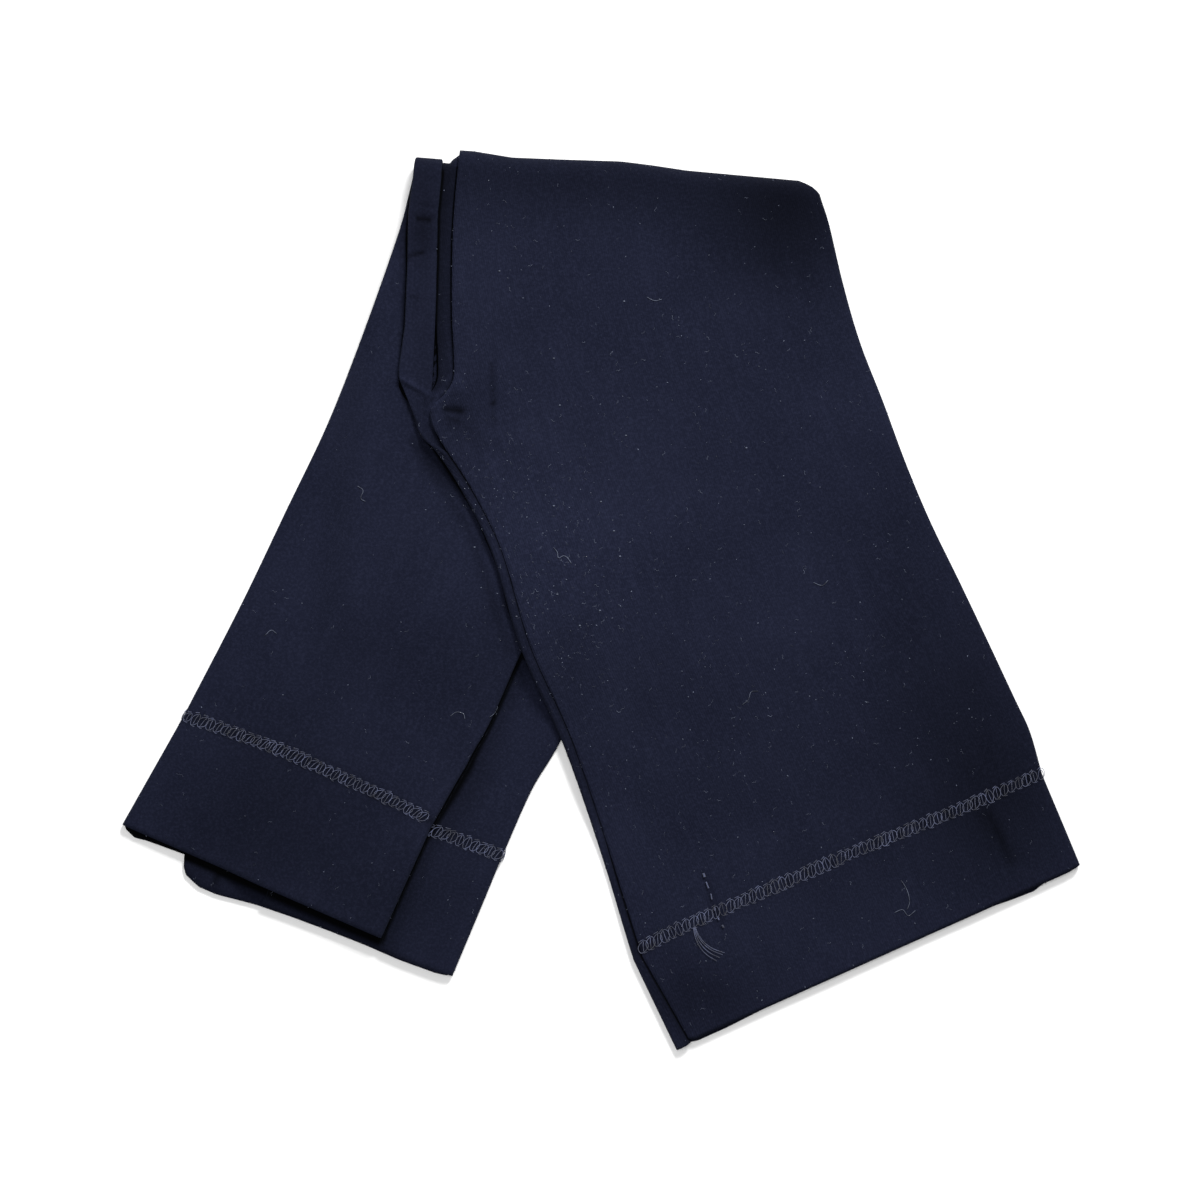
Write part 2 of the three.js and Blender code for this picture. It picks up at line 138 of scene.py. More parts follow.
class Edge:
    """A smooth line through plan points, read by its share of length."""

    def __init__(self, *points):
        p = np.array(points, float)
        p = np.vstack([2 * p[0] - p[1], p, 2 * p[-1] - p[-2]])
        line = []
        for a, b, c, d in zip(p, p[1:], p[2:], p[3:]):
            t = [0.0]
            for m, n in ((a, b), (b, c), (c, d)):
                t.append(t[-1] + np.linalg.norm(n - m) ** 0.5)
            for s in np.linspace(t[1], t[2], 40, endpoint=False):
                q = [((t[i + 1] - s) * m + (s - t[i]) * n) / (t[i + 1] - t[i])
                     for i, (m, n) in enumerate(((a, b), (b, c), (c, d)))]
                r = [((t[i + 2] - s) * q[i] + (s - t[i]) * q[i + 1]) / (t[i + 2] - t[i]) for i in (0, 1)]
                line.append(((t[2] - s) * r[0] + (s - t[1]) * r[1]) / (t[2] - t[1]))
        line.append(p[-2])
        self.line = np.array(line)
        self.at = distances(self.line)

    def __call__(self, share):
        along = share * self.at[-1]
        return np.array([np.interp(along, self.at, self.line[:, k]) for k in (0, 1)])


RIGHT_SEAM = Edge(
    (12.1, -102.1), (-7.4, -41.6), (-19.8, -13), (-28.3, 15), (-36, 30.7), (-40.5, 38.1), (-43.9, 43),
    (-46.6, 47.6), (-48.2, 51), (-47.9, 54.8), (-44.2, 58.8), (-41.9, 62.6), (-41.6, 69), (-42.1, 80),
    (-42.1, 96), (-41.6, 110), (-40.46, 123.07),
)
RIGHT_OUTER = Edge(
    (126.7, -49.9), (123.1, -37.3), (119.1, -28.7), (111.1, -11.6), (102.9, 5.6), (94.6, 22.7), (87.4, 39.9),
    (81.1, 57), (74.3, 74.1), (69.1, 91.3), (65.2, 107), (62.9, 113.7),
)
LEFT_INNER = Edge(
    (-119.4, -33.3), (-102.3, -0.1), (-90, 25.6), (-77.7, 51.3), (-67.4, 77), (-59.7, 98.4),
    (-56, 110), (-53.18, 123.32),
)
LEFT_OUTER = Edge((-28, -73.6), (-18.9, -53.3), (-12.3, -42.4), (8, 0), (34.9, 60), (60.92, 112.97))


def inside(p, a, b):
    """How far plan points lie to the left of the line from a to b."""
    d = np.subtract(b, a)
    return (d[0] * (p[..., 1] - a[1]) - d[1] * (p[..., 0] - a[0])) / math.hypot(*d)


def shelf(p, a, b, margin, ramp):
    """1 to the left of a line and 0 to its right, with a slope as long as the ramp."""
    return smooth((inside(p, a, b) + margin + ramp) / ramp)


def beyond_fold(p):
    """How far plan points of the flat garment lie past the line that it is folded on."""
    return (p[..., :2] - FOLD_START) @ ACROSS


def left_base(p):
    """Height of what lies under the left leg: the body folded underneath."""
    stack = (
        shelf(p, UNDER["top_left"], UNDER["low"], margin=4, ramp=16)
        * shelf(p, UNDER["low"], UNDER["low_right"], margin=4, ramp=35)
        * shelf(p, UNDER["low_right"], UNDER["top_right"], margin=4, ramp=22)
    )
    return UNDER_STACK * np.where(beyond_fold(p) > 0, 1, stack)


def right_base(p):
    """Height of what lies under the right leg: the left one and its pleat too."""
    left = PLEAT_LOW + np.array([-PLEAT_AXIS[1], PLEAT_AXIS[0]]) * (PLEAT_DEPTH + 1)
    pleat = shelf(p, PLEAT_LOW, PLEAT_LOW + PLEAT_AXIS, margin=4, ramp=14)
    pleat = pleat * shelf(p, left + PLEAT_AXIS, left, margin=1, ramp=16)
    pleat = pleat * (1 - smooth(((p[..., :2] - PLEAT_LOW) @ PLEAT_AXIS - 112) / 38))
    over = shelf(p, *LEFT_EDGE, margin=6, ramp=20)
    height = left_base(p) + 2 * LAYER * (over + pleat)
    return np.where(beyond_fold(p) > 0, UNDER_STACK + 2 * LAYER, height)


def fold_under(points):
    """Turns what lies beyond the hip line over and under, and waves the fold a little."""
    q = beyond_fold(points)
    turn = np.clip(q / FOLD_LENGTH, 0, 1) * math.pi
    radius = points[..., 2] - FOLD_HEIGHT
    reach = np.where(q <= 0, q, radius * np.sin(turn) - np.maximum(q - FOLD_LENGTH, 0))
    u = (points[..., :2] - FOLD_START) @ ALONG
    wave = np.interp(u, *FOLD_WAVE) * smooth((reach + 12) / 12)
    folded = points.copy()
    folded[..., :2] += (reach - q + wave)[..., None] * ACROSS
    folded[..., 2] = FOLD_HEIGHT + radius * np.cos(turn)
    return folded


def corner_inset(past_fold):
    """How far the outer edge draws in where the cloth goes over the fold."""
    return CORNER_INSET * math.sin(math.pi * min(past_fold / FOLD_LENGTH, 1)) ** 2


def levels(thickness, near_hem):
    """Heights of the middle of each of four layers. Near a hem the leg rises to lie flush with it."""
    plain = thickness / 2 + np.arange(4) * (thickness + GAP)
    flush = HEM_CLOTH - CLOTH
    return plain + near_hem * np.array([0, 2, 2, 4]) * flush


class Section:
    """Points across one row of cloth, by distance from its first edge and height over what it lies on."""

    def __init__(self, a, b, base):
        self.a, self.over, self.base = a, unit(b - a), base
        self.d, self.z = [], []

    def add(self, d, z):
        self.d += list(np.atleast_1d(d) * np.ones(np.size(z)))
        self.z += list(np.atleast_1d(z) * np.ones(np.size(d)))

    def turn(self, centre, start, end, outward):
        """A half round from one height to another, bulging the way that outward says, 1 or -1."""
        angle = math.pi * (np.arange(1, TURN_COUNT) / TURN_COUNT - 0.5)
        radius = (end - start) / 2
        self.add(centre + outward * abs(radius) * np.cos(angle), (start + end) / 2 + radius * np.sin(angle))

    def points(self):
        plan = self.a + np.array(self.d)[:, None] * self.over
        return np.column_stack([plan, np.array(self.z) + self.base(plan)])

    def curl(self, start, height, radius, bend, way):
        """An edge that curls up by an angle, or down where way is 1, and its last point's place."""
        steps = np.arange(1, CURL_COUNT + 1) / CURL_COUNT
        arc, angle = math.pi * radius * steps, bend * steps
        self.add(start + way * arc * np.sin(angle) / angle, height - way * arc * (1 - np.cos(angle)) / angle)
        return self.d[-1], self.z[-1]

    def length(self):
        return distances(np.column_stack([self.d, self.z]))


def right_section(seam, outer, thickness, near_hem, rolled=0, roll=SEAM_ROLL):
    """The right leg's two layers, the lower one rolled in at the seam."""
    z = levels(thickness, near_hem)
    s = Section(seam, outer, right_base)
    turn_at = np.linalg.norm(outer - seam) - (z[1] - z[0]) / 2 - thickness / 2
    columns = turn_at * share_across
    s.add(columns, z[1])
    s.turn(turn_at, z[1], z[0], 1)
    s.add(columns[::-1], z[0])
    bend = max(math.pi * rolled, NEARLY_FLAT)
    d, height = s.curl(mix(-1.5, -roll - GAP / 2, rolled), z[0], (z[1] - z[0]) / 2, bend, -1)
    tail = mix(1, roll, rolled) * np.array([0.5, 1])
    s.add(d - tail * math.cos(bend), height + tail * math.sin(bend))
    return s


def left_section(inner, outer, f, thickness, near_hem):
    """The left leg's layers: the pleated one, the lowest, and the upper one that stops short."""
    z = levels(thickness, near_hem)
    s = Section(inner, outer, left_base)
    width = np.linalg.norm(outer - inner)
    turn = (z[1] - z[0] + thickness) / 2
    outer_at = width - turn
    short = np.interp(f, *UPPER_SHORT)
    upper_end = width - short
    lift, turned = np.interp(f, *UPPER_LIFT), np.interp(f, *UPPER_TURN)
    pleat = max((UPPER_SHORT[1][1] + PLEAT_DEPTH) * np.interp(f, *PLEAT_SHOWN), 3)
    hidden = np.linspace(outer_at - pleat - 0.5, max(outer_at - pleat, upper_end - 1.5), 6)
    edge = hidden[-1] + np.linspace(0.2, min(4.5, 0.6 * (outer_at - hidden[-1])), 18)
    lower = np.concatenate([hidden, edge, np.linspace(edge[-1], outer_at, 17)[1:]])
    s.add(lower, z[1] - 0.7 * bell(lower, upper_end + 0.5, 0.7) * (short > 4))
    s.turn(outer_at, z[1], z[0], 1)
    columns = np.linspace(turn, outer_at, ACROSS_COUNT)
    s.add(columns[::-1], z[0])
    s.turn(turn, z[0], z[1], -1)

    def upper_height(d):
        return mix(z[1], z[3], smooth((d - (upper_end - PLEAT_DEPTH - 18)) / 16) * lift)

    upper = np.linspace(turn, upper_end - turn, UPPER_COUNT)
    s.add(upper, upper_height(upper))
    bend = max(math.pi * turned, NEARLY_FLAT)
    d, height = s.curl(upper_end - turn, upper_height(upper_end), (z[3] - z[2]) / 2, bend, 1)
    tail = FLAP * turned * np.array([0.4, 1])
    s.add(d + tail * math.cos(bend) + [0.2, 0.4], height - tail * math.sin(bend))
    return s


# Creases given one by one: from, to, half width, depth (a ridge is positive). Plan places in millimetres.
RIGHT_CREASES = [
    ((-30.6, 70.5), (-29.6, 50.0), 0.9, -0.8),
    ((-28.2, 72.0), (-26.8, 52.0), 1.6, 0.35),
    ((-44.0, 59.0), (-38.5, 59.5), 1.1, 0.6),
    ((-43.6, 55.0), (-38.6, 53.4), 0.8, -0.7),
    ((-45.6, 51.0), (-38.5, 50.4), 1.2, 0.5),
    ((-41.0, 58.0), (-20.0, 66.0), 3.0, 0.45),
    ((-40.0, 50.0), (-12.0, 38.0), 3.5, 0.35),
    ((-36.0, 60.0), (-6.0, 92.0), 6.0, 0.5),
    ((-30.0, 110.0), (30.0, 104.0), 8.0, -0.5),
    ((10.0, 100.0), (66.0, 86.0), 7.0, -0.45),
    ((0.0, 62.0), (70.0, 74.0), 9.0, 0.5),
    ((-18.0, 6.0), (60.0, 26.0), 8.0, 0.45),
    ((-14.0, -18.0), (88.0, -2.0), 9.0, -0.35),
    ((0.0, -58.0), (104.0, -16.0), 8.0, 0.3),
    ((60.0, 40.0), (100.0, -30.0), 7.0, 0.4),
    ((12.0, -84.0), (118.0, -40.0), 5.0, -0.25),
    ((110.5, -61.5), (117.0, -71.5), 1.6, 0.4),
    ((60.0, -98.0), (66.0, -84.0), 2.0, 0.2),
    ((92.0, -86.0), (84.0, -74.0), 2.4, -0.2),
]
LEFT_CREASES = [
    ((-96.0, -20.0), (-44.0, 18.0), 7.0, 0.4),
    ((-84.0, 20.0), (-50.0, 40.0), 6.0, -0.4),
    ((-72.0, 60.0), (-58.0, 64.0), 4.0, 0.35),
    ((-110.0, -32.0), (-50.0, -50.0), 5.0, -0.3),
    ((-64.0, 90.0), (-56.0, 84.0), 4.0, -0.3),
    ((-118.0, -56.0), (-110.0, -72.0), 2.2, 0.25),
    ((-86.0, -66.0), (-80.0, -86.0), 3.0, -0.2),
]
CROTCH = (-41.0, 54.2)  # where the seams meet, drawn in


def creased(points, creases, weight):
    """Raises or lowers cloth along its creases, by weight at each point, and lets it lie unevenly."""
    x, y = points[..., 0], points[..., 1]
    lift = 0.10 * np.sin(x / 9.1 + y / 17.3) + 0.08 * np.sin(y / 7.7 - x / 13.9 + 1.7)
    lift += 0.05 * np.sin(x / 4.3 + 0.6 * np.sin(y / 11)) * np.sin(y / 5.9 + 0.4)
    for a, b, half, depth in creases:
        d = np.subtract(b, a)
        t = ((x - a[0]) * d[0] + (y - a[1]) * d[1]) / (d @ d)
        bow = 0.06 * math.hypot(*d) * np.sin(math.pi * np.clip(t, 0, 1))
        off = ((x - a[0]) * d[1] - (y - a[1]) * d[0]) / math.hypot(*d) + bow
        ends = smooth((t + 0.15) / 0.4) * smooth((1.15 - t) / 0.4)
        lift += depth * bell(off, 0, half) * ends
    lift -= 0.25 * bell(np.hypot(x - CROTCH[0], y - CROTCH[1]), 0, 2.2)
    points[..., 2] += lift * weight
    return points


def into_scene(name, data):
    obj = bpy.data.objects.new(name, data)
    bpy.context.collection.objects.link(obj)
    return obj


def mesh_object(name, vertices, faces, uvs=None):
    mesh = bpy.data.meshes.new(name)
    mesh.from_pydata((vertices * MM).tolist(), [], faces)
    if uvs is not None:
        layer = mesh.uv_layers.new(name="cloth")
        loops = np.array([i for f in faces for i in f])
        layer.data.foreach_set("uv", (uvs[loops] * MM).ravel())
    mesh.validate()
    for polygon in mesh.polygons:
        polygon.use_smooth = True
    return into_scene(name, mesh)


class Cloth:
    """A wall of cloth through a grid of points, its thickness set row by row, closed at its edges."""

    def __init__(self, name, grid, thickness, lengths, along):
        rows, columns = grid.shape[:2]
        normal = np.cross(np.gradient(grid, axis=0), np.gradient(grid, axis=1))
        normal /= np.linalg.norm(normal, axis=2, keepdims=True)
        half = np.asarray(thickness)[:, None, None] / 2
        sides = np.array([fold_under(grid + normal * half), fold_under(grid - normal * half)])
        n = rows * columns
        i, j = np.meshgrid(np.arange(rows - 1), np.arange(columns - 1), indexing="ij")
        a = (i * columns + j).ravel()
        quads = np.stack([a, a + columns, a + columns + 1, a + 1], axis=1)
        r, c = np.arange(rows - 1) * columns, np.arange(columns - 1)
        e, last = r + columns - 1, (rows - 1) * columns
        faces = np.concatenate([
            quads, quads[:, ::-1] + n,
            np.stack([r + n, r + columns + n, r + columns, r], axis=1),
            np.stack([e, e + columns, e + columns + n, e + n], axis=1),
            np.stack([c, c + 1, c + 1 + n, c + n], axis=1),
            np.stack([last + c + n, last + c + 1 + n, last + c + 1, last + c], axis=1),
        ])
        vertices = sides.reshape(-1, 3)
        v = vertices[faces]
        volume = sum(np.einsum("ij,ij->", v[:, 0], np.cross(v[:, k], v[:, k + 1])) for k in (1, 2))
        if volume < 0:
            faces = faces[:, ::-1]
        uv = np.stack([lengths, np.broadcast_to(np.asarray(along)[:, None], lengths.shape)], axis=2)
        self.object = mesh_object(name, vertices, faces.tolist(), np.concatenate([uv, uv]).reshape(-1, 2))
        self.sides = sides
        self.middle = sides.mean(axis=0)
        row, column = rows // 4, 5
        self.outer = int(sides[1, row, column, 2] > sides[0, row, column, 2])  # which side shows from above

    def line(self, rows, columns, lift):
        """Points and outward directions over the cloth at fractional rows of its grid."""
        out, inner = self.sides[self.outer], self.sides[1 - self.outer]
        low = np.clip(np.floor(rows).astype(int), 0, len(out) - 2)
        t = (rows - low)[:, None]
        top = out[low, columns] * (1 - t) + out[low + 1, columns] * t
        under = inner[low, columns] * (1 - t) + inner[low + 1, columns] * t
        up = (top - under) / np.linalg.norm(top - under, axis=1, keepdims=True)
        return top + up * lift, up


def hem_thickness(share):
    """The wall's thickness at a share of the hem's depth, from its top to its edge."""
    return mix(CLOTH, HEM_CLOTH, smooth(share * HEM_STEP))


def leg_rows(edges, corners, hem_section, leg_section, extra=()):
    """A leg from its hem's edge up: points, lengths, thickness, share of the hem, and the way down."""
    inner, outer = edges
    inner_corner, outer_corner = np.array(corners["inner"]), np.array(corners["outer"])
    sections = []
    for i in range(HEM_COUNT):
        f = 1 - i / HEM_COUNT
        sections.append(hem_section(mix(inner(0), inner_corner, f), mix(outer(0), outer_corner, f), f))
    sections += [leg_section(f) for f in rows_along()]
    sections += extra
    grid = np.array([s.points() for s in sections])
    lengths = np.array([s.length() for s in sections])
    share = np.clip(1 - np.arange(len(grid)) / HEM_COUNT, 0, 1)
    return grid, lengths, hem_thickness(share), share**2, unit(inner_corner - inner(0))


# Right leg, from its hem over the fold at the hip to the waistband underneath
def rolled_at(f):
    return 1 - smooth((f - 0.63) / 0.06)


def right_leg():
    def hem(a, b, f):
        roll = mix(SEAM_ROLL - HEM_ROLL_LESS, SEAM_ROLL + HEM_ROLL_MORE, f)
        return right_section(a, b, hem_thickness(f), 1 - smooth(f * HEM_STEP), 1, roll)

    def leg(f):
        roll = SEAM_ROLL - HEM_ROLL_LESS * (1 - smooth(f * 3))
        return right_section(RIGHT_SEAM(f), RIGHT_OUTER(f), CLOTH, 1 - smooth(f * 8), rolled_at(f), roll)

    extra = []
    past = np.concatenate([
        FOLD_LENGTH * np.arange(1, FOLD_COUNT + 1) / FOLD_COUNT,
        FOLD_LENGTH + BODY_UNDER * np.arange(1, 25) / 24,
    ])
    for q in past:
        seam = FOLD_START + ACROSS * q
        outer = RIGHT_OUTER(1) + ACROSS * q - ALONG * (FOLD_TAPER * q + corner_inset(q))
        extra.append(right_section(seam, outer, CLOTH, near_hem=0))
    edges = (RIGHT_SEAM, RIGHT_OUTER)
    grid, lengths, thickness, hem_share, down = leg_rows(edges, RIGHT_HEM, hem, leg, extra)
    lower = np.arange(grid.shape[1]) >= RIGHT_TOP_COUNT
    from_fold = np.linalg.norm(grid[0, :, :2] - np.array(RIGHT_HEM["outer"]), axis=1)
    reach = np.where(lower, np.interp(from_fold, *LOWER_RIGHT_HEM), 0)
    grid[..., :2] += (hem_share[:, None] * reach)[..., None] * down
    from_seam = np.linalg.norm(grid[0, :, :2] - grid[0, 0, :2], axis=1)
    rounded = np.clip(1 - from_fold / 3.5, 0, 1) ** 2 + 0.9 * np.clip(1 - from_seam / 2.5, 0, 1) ** 2
    grid[..., :2] -= (hem_share[:, None] ** 2 * rounded)[..., None] * down
    lying = np.where(lower, 0, 1)[None, :] * (1 - smooth(beyond_fold(grid) / 4))
    lying = lying * smooth((lengths - 0.5) / 3)
    creased(grid, RIGHT_CREASES, lying)
    lengths -= lengths[:, ACROSS_COUNT][:, None]
    return Cloth("right_leg_cloth", grid, thickness, lengths, distances(grid[:, ACROSS_COUNT // 2]))


def left_leg():
    def hem(a, b, f):
        return left_section(a, b, -HEM_SHARE * f, hem_thickness(f), 1 - smooth(f * HEM_STEP))

    def leg(f):
        return left_section(LEFT_INNER(f), LEFT_OUTER(f), f, CLOTH, 1 - smooth(f * 7))

    edges = (LEFT_INNER, LEFT_OUTER)
    grid, lengths, thickness, hem_share, down = leg_rows(edges, LEFT_HEM, hem, leg)
    j = np.arange(grid.shape[1])
    floor_start = LOWER_COUNT + TURN_COUNT - 1
    floor_end = floor_start + ACROSS_COUNT
    corner = np.array(LEFT_HEM["inner"])
    peek = np.interp((grid[0, :, :2] - corner) @ unit(np.array(LEFT_HEM["outer"]) - corner), *LOWER_HEM)
    reach = np.where(j < floor_start, 0.85 * peek, np.where(j < floor_end, peek, 0))
    grid[..., :2] += (hem_share[:, None] * reach)[..., None] * down
    upper = (j >= floor_end + TURN_COUNT) & (j < floor_end + TURN_COUNT + UPPER_COUNT - 4)
    creased(grid, LEFT_CREASES, np.where(upper, 1.0, 0)[None, :] * smooth(-beyond_fold(grid) / 12))
    lengths -= lengths[:, floor_end + 2][:, None]
    return Cloth("left_leg_cloth", grid, thickness, lengths, distances(grid[:, LOWER_COUNT]))


# Hidden layers and the rise: solids through closed rings
ROUND_STEPS = 6  # steps around a layer's edge


def layered_ring(a, b, bottom, top, layers, columns, base):
    """A ring from a to b around one layer or more, with each layer's edges rounded."""
    width, height = np.linalg.norm(b - a), (top - bottom) / layers
    bulge = min(LAYER_BULGE, height / 2)
    angles = math.pi * (np.arange(1, ROUND_STEPS) / ROUND_STEPS - 0.5)
    d, z = list(np.linspace(bulge, width - bulge, columns)), [bottom] * columns
    for k in range(layers):
        middle = bottom + (k + 0.5) * height
        d += list(width - bulge + bulge * np.cos(angles))
        z += list(middle + height / 2 * np.sin(angles))
        if k < layers - 1:
            d.append(width - bulge)
            z.append(bottom + (k + 1) * height)
    d += list(np.linspace(width - bulge, bulge, columns))
    z += [top] * columns
    for k in reversed(range(layers)):
        middle = bottom + (k + 0.5) * height
        d += list(bulge - bulge * np.cos(angles))
        z += list(middle - height / 2 * np.sin(angles))
        if k > 0:
            d.append(bulge)
            z.append(bottom + k * height)
    plan = a + np.array(d)[:, None] * unit(b - a)
    return np.column_stack([plan, np.array(z) + base(plan)])


def loft(name, rings):
    """A solid through rings, closed at both ends and turned under past the hip."""
    n, count = len(rings[0]), len(rings)
    ends = [rings[0].mean(axis=0), rings[-1].mean(axis=0)]
    vertices = fold_under(np.vstack([*rings, *[e[None] for e in ends]]))
    faces = []
    for i in range(count - 1):
        for j in range(n):
            k = (j + 1) % n
            faces.append([i * n + j, (i + 1) * n + j, (i + 1) * n + k, i * n + k])
    for j in range(n):
        k = (j + 1) % n
        faces.append([count * n, j, k])
        faces.append([count * n + 1, (count - 1) * n + k, (count - 1) * n + j])
    volume = sum(vertices[f[0]] @ np.cross(vertices[f[1]], vertices[f[2]]) for f in faces)
    if volume < 0:
        faces = [f[::-1] for f in faces]
    along = distances(np.array([r.mean(axis=0) for r in rings]))
    around = distances(rings[0])
    uv = np.vstack([np.column_stack([around, np.full(n, v)]) for v in along] + [np.zeros((2, 2))])
    return mesh_object(name, vertices, faces, uv)


def no_base(plan):
    return np.zeros(len(plan))


PLEAT_REACH = (-0.19, 0.38)  # from inside the hem, by share of the leg
PLEAT_CLEAR, PLEAT_LESS = 2.6, 3.5  # its clearance from the flap beside it, and how much narrower it is


def left_pleat():
    """The left leg's cloth folded back between its layers, from just inside the hem upwards."""
    rings = []
    for f in np.linspace(*PLEAT_REACH, 40):
        a, b, thickness, near = LEFT_INNER(max(f, 0)), LEFT_OUTER(max(f, 0)), CLOTH, 1 - smooth(f * 7)
        if f < 0:
            a = mix(a, np.array(LEFT_HEM["inner"]), -f / HEM_SHARE)
            b = mix(b, np.array(LEFT_HEM["outer"]), -f / HEM_SHARE)
            thickness, near = HEM_CLOTH, 0
        z = levels(thickness, near)
        over = unit(b - a)
        right = b - over * (np.interp(f, *UPPER_SHORT) + FLAP + PLEAT_CLEAR)
        left = right + over * (FLAP + PLEAT_LESS - PLEAT_DEPTH)
        low, high = z[1] + thickness / 2 + GAP, z[2] + thickness / 2
        rings.append(layered_ring(left, right, low, high, layers=1, columns=8, base=left_base))
    return loft("left_pleat_cloth", rings)


def left_body():
    """The left half's two layers, over the fold and underneath."""
    rings = []
    top = UNDER_STACK + 2 * LAYER - 2 * GAP
    past = np.concatenate([np.linspace(1.2, FOLD_LENGTH, 12), np.linspace(16, FOLD_LENGTH + BODY_UNDER, 20)])
    for q in past:
        a = LEFT_INNER(1) + ACROSS * q
        b = LEFT_OUTER(1) + ACROSS * q - ALONG * (FOLD_TAPER * q + 1 + corner_inset(q))
        rings.append(layered_ring(a, b, UNDER_STACK, top, layers=2, columns=24, base=no_base))
    return loft("left_body_cloth", rings)


WAISTBAND_ENDS = (-8, 96)  # along the fold, from the right leg's seam
GATHER_HEIGHT = 0.18


def waistband():
    """The elastic casing underneath, its lowest layer gathered a little."""
    start = FOLD_LENGTH + BODY_UNDER + GAP
    rings = []
    for s in np.linspace(0, 1, 30):
        a = FOLD_START + ACROSS * (start + s * WAISTBAND_DEPTH)
        edge = min(s, 1 - s) * WAISTBAND_DEPTH
        inset = 0.7 * (1 - min(edge / 1.5, 1)) ** 2
        left, right = (a + ALONG * end for end in WAISTBAND_ENDS)
        bottom, top = UNDER_STACK + inset, 2 * UNDER_STACK - GAP
        ring = layered_ring(left, right, bottom, top, layers=4, columns=130, base=no_base)
        u = (ring[:, :2] - FOLD_START) @ ALONG
        gather = GATHER_HEIGHT * np.sin(u * 2.1 + 0.8 * np.sin(u * 0.37)) * min(edge / 3, 1)
        low = ring[:, 2] < UNDER_STACK + 1
        ring[low, 2] += 0.2 + gather[low]
        rings.append(ring)
    return loft("waistband_cloth", rings)


RISE_ROWS = [  # y, left x, right x, thickness
    (47, -52.0, -50.4, 1.0),
    (54, -54.6, -49.4, 1.1),
    (59.4, -56.8, -48.8, 1.2),
    (60.8, -57.3, -48.2, 2.5),
    (63.5, -57.4, -47.8, 2.1),
    (70, -56.8, -47.4, 2.1),
    (78, -55.7, -47.0, 2.1),
    (95.9, -54.9, -46.4, 2.1),
    (110, -54.7, -46.1, 2.1),
    (122.2, -53.2, -44.9, 2.0),
]
RISE_DENTS = [  # y, depth, how far it leans
    (98.5, -0.35, 2.5),
    (108.8, -0.4, -1.0),
    (112.0, -0.35, -1.5),
    (86, 0.2, 3),
]


RISE_PAST_FOLD = {"start": -12.6, "width": 8, "thickness": 2}


def left_rise():
    """The folded strip of the left half's front rise, from the crotch to the hip and over."""
    y, *columns = np.array(RISE_ROWS).T

    def base(plan):
        return left_base(plan) + 2 * LAYER

    def folded_base(plan):
        return np.full(len(plan), UNDER_STACK + 2 * LAYER)

    rings = []
    for at in np.linspace(y[0], y[-1], 120):
        left, right, height = (np.interp(at, y, column) for column in columns)
        slope = 5 * (1 - smooth((at - 61) / 12))
        a, b = np.array([left, at + slope * 0.5]), np.array([right, at - slope * 0.5])
        ring = layered_ring(a, b, 0, height, layers=1, columns=14, base=base)
        share = (ring[:, 0] - left) / (right - left)
        top = smooth((ring[:, 2] - base(ring[:, :2]) - 0.5 * height) / 0.5)
        fold = 0.35 * bell(share, 0.3, 0.2) - 0.7 * smooth((share - 0.7) / 0.3)
        for y0, depth, lean in RISE_DENTS:
            fold += depth * bell(ring[:, 1], y0 + lean * (share - 0.5), 0.9) * smooth(share * 2)
        ring[:, 2] += top * fold * height / 2.1
        rings.append(ring)
    for q in np.concatenate([np.linspace(0.5, FOLD_LENGTH, 14), [16, 23, 30]]):
        a = FOLD_START + ACROSS * q + ALONG * RISE_PAST_FOLD["start"]
        b = a + ALONG * RISE_PAST_FOLD["width"]
        ring = layered_ring(a, b, 0, RISE_PAST_FOLD["thickness"], layers=1, columns=14, base=folded_base)
        rings.append(ring)
    return loft("left_rise_cloth", rings)


# Materials
NAVY = (0.0082, 0.0097, 0.0210)
NAVY_DARK = (0.0060, 0.0072, 0.0160)
NAP = (0.034, 0.039, 0.078)
RIB_SCALE = math.tau / 20 / (KNIT_PITCH * MM)  # gives the wave texture one band for each rib of the knitting
# Painted contact shadow where one layer stops on another: between which gaps the painted shade fades, and how
# light it is at its darkest
CONTACT_DARK, CONTACT_SHADE = (0.3, 1.0, 0.03), (0.6, 4.2, 0.68)


def node(tree, kind, **inputs):
    made = tree.nodes.new(kind)
    for name, value in inputs.items():
        made.inputs[name.replace("_", " ")].default_value = value
    return made


def new_material(name, roughness, sheen=0.0):
    material = bpy.data.materials.new(name)
    material.use_nodes = True
    shader = material.node_tree.nodes["Principled BSDF"]
    shader.inputs["Roughness"].default_value = roughness
    shader.inputs["Sheen Weight"].default_value = sheen
    return material, material.node_tree, shader


def noise(tree, place, scale, detail, roughness=0.5):
    made = node(tree, "ShaderNodeTexNoise", Scale=scale, Detail=detail, Roughness=roughness)
    tree.links.new(place, made.inputs["Vector"])
    return made.outputs["Fac"]


def spread(tree, value, low, high, least=0.0, most=1.0, kind="LINEAR"):
    """Stretches what lies between low and high to between least and most."""
    made = node(tree, "ShaderNodeMapRange", From_Min=low, From_Max=high, To_Min=least, To_Max=most)
    made.interpolation_type = kind
    tree.links.new(value, made.inputs["Value"])
    return made.outputs["Result"]


def sum_or_product(tree, operation, a, b):
    made = tree.nodes.new("ShaderNodeMath")
    made.operation = operation
    tree.links.new(a, made.inputs[0])
    tree.links.new(b, made.inputs[1])
    return made.outputs["Value"]


def blend(tree, share, colour):
    """Mixes a colour in, by a share. What it is mixed into is the node's input A."""
    made = tree.nodes.new("ShaderNodeMix")
    made.data_type = "RGBA"
    made.inputs["B"].default_value = (*colour, 1)
    tree.links.new(share, made.inputs["Factor"])
    return made


def attribute(tree, name):
    made = tree.nodes.new("ShaderNodeAttribute")
    made.attribute_name = name
    return made.outputs["Fac"]


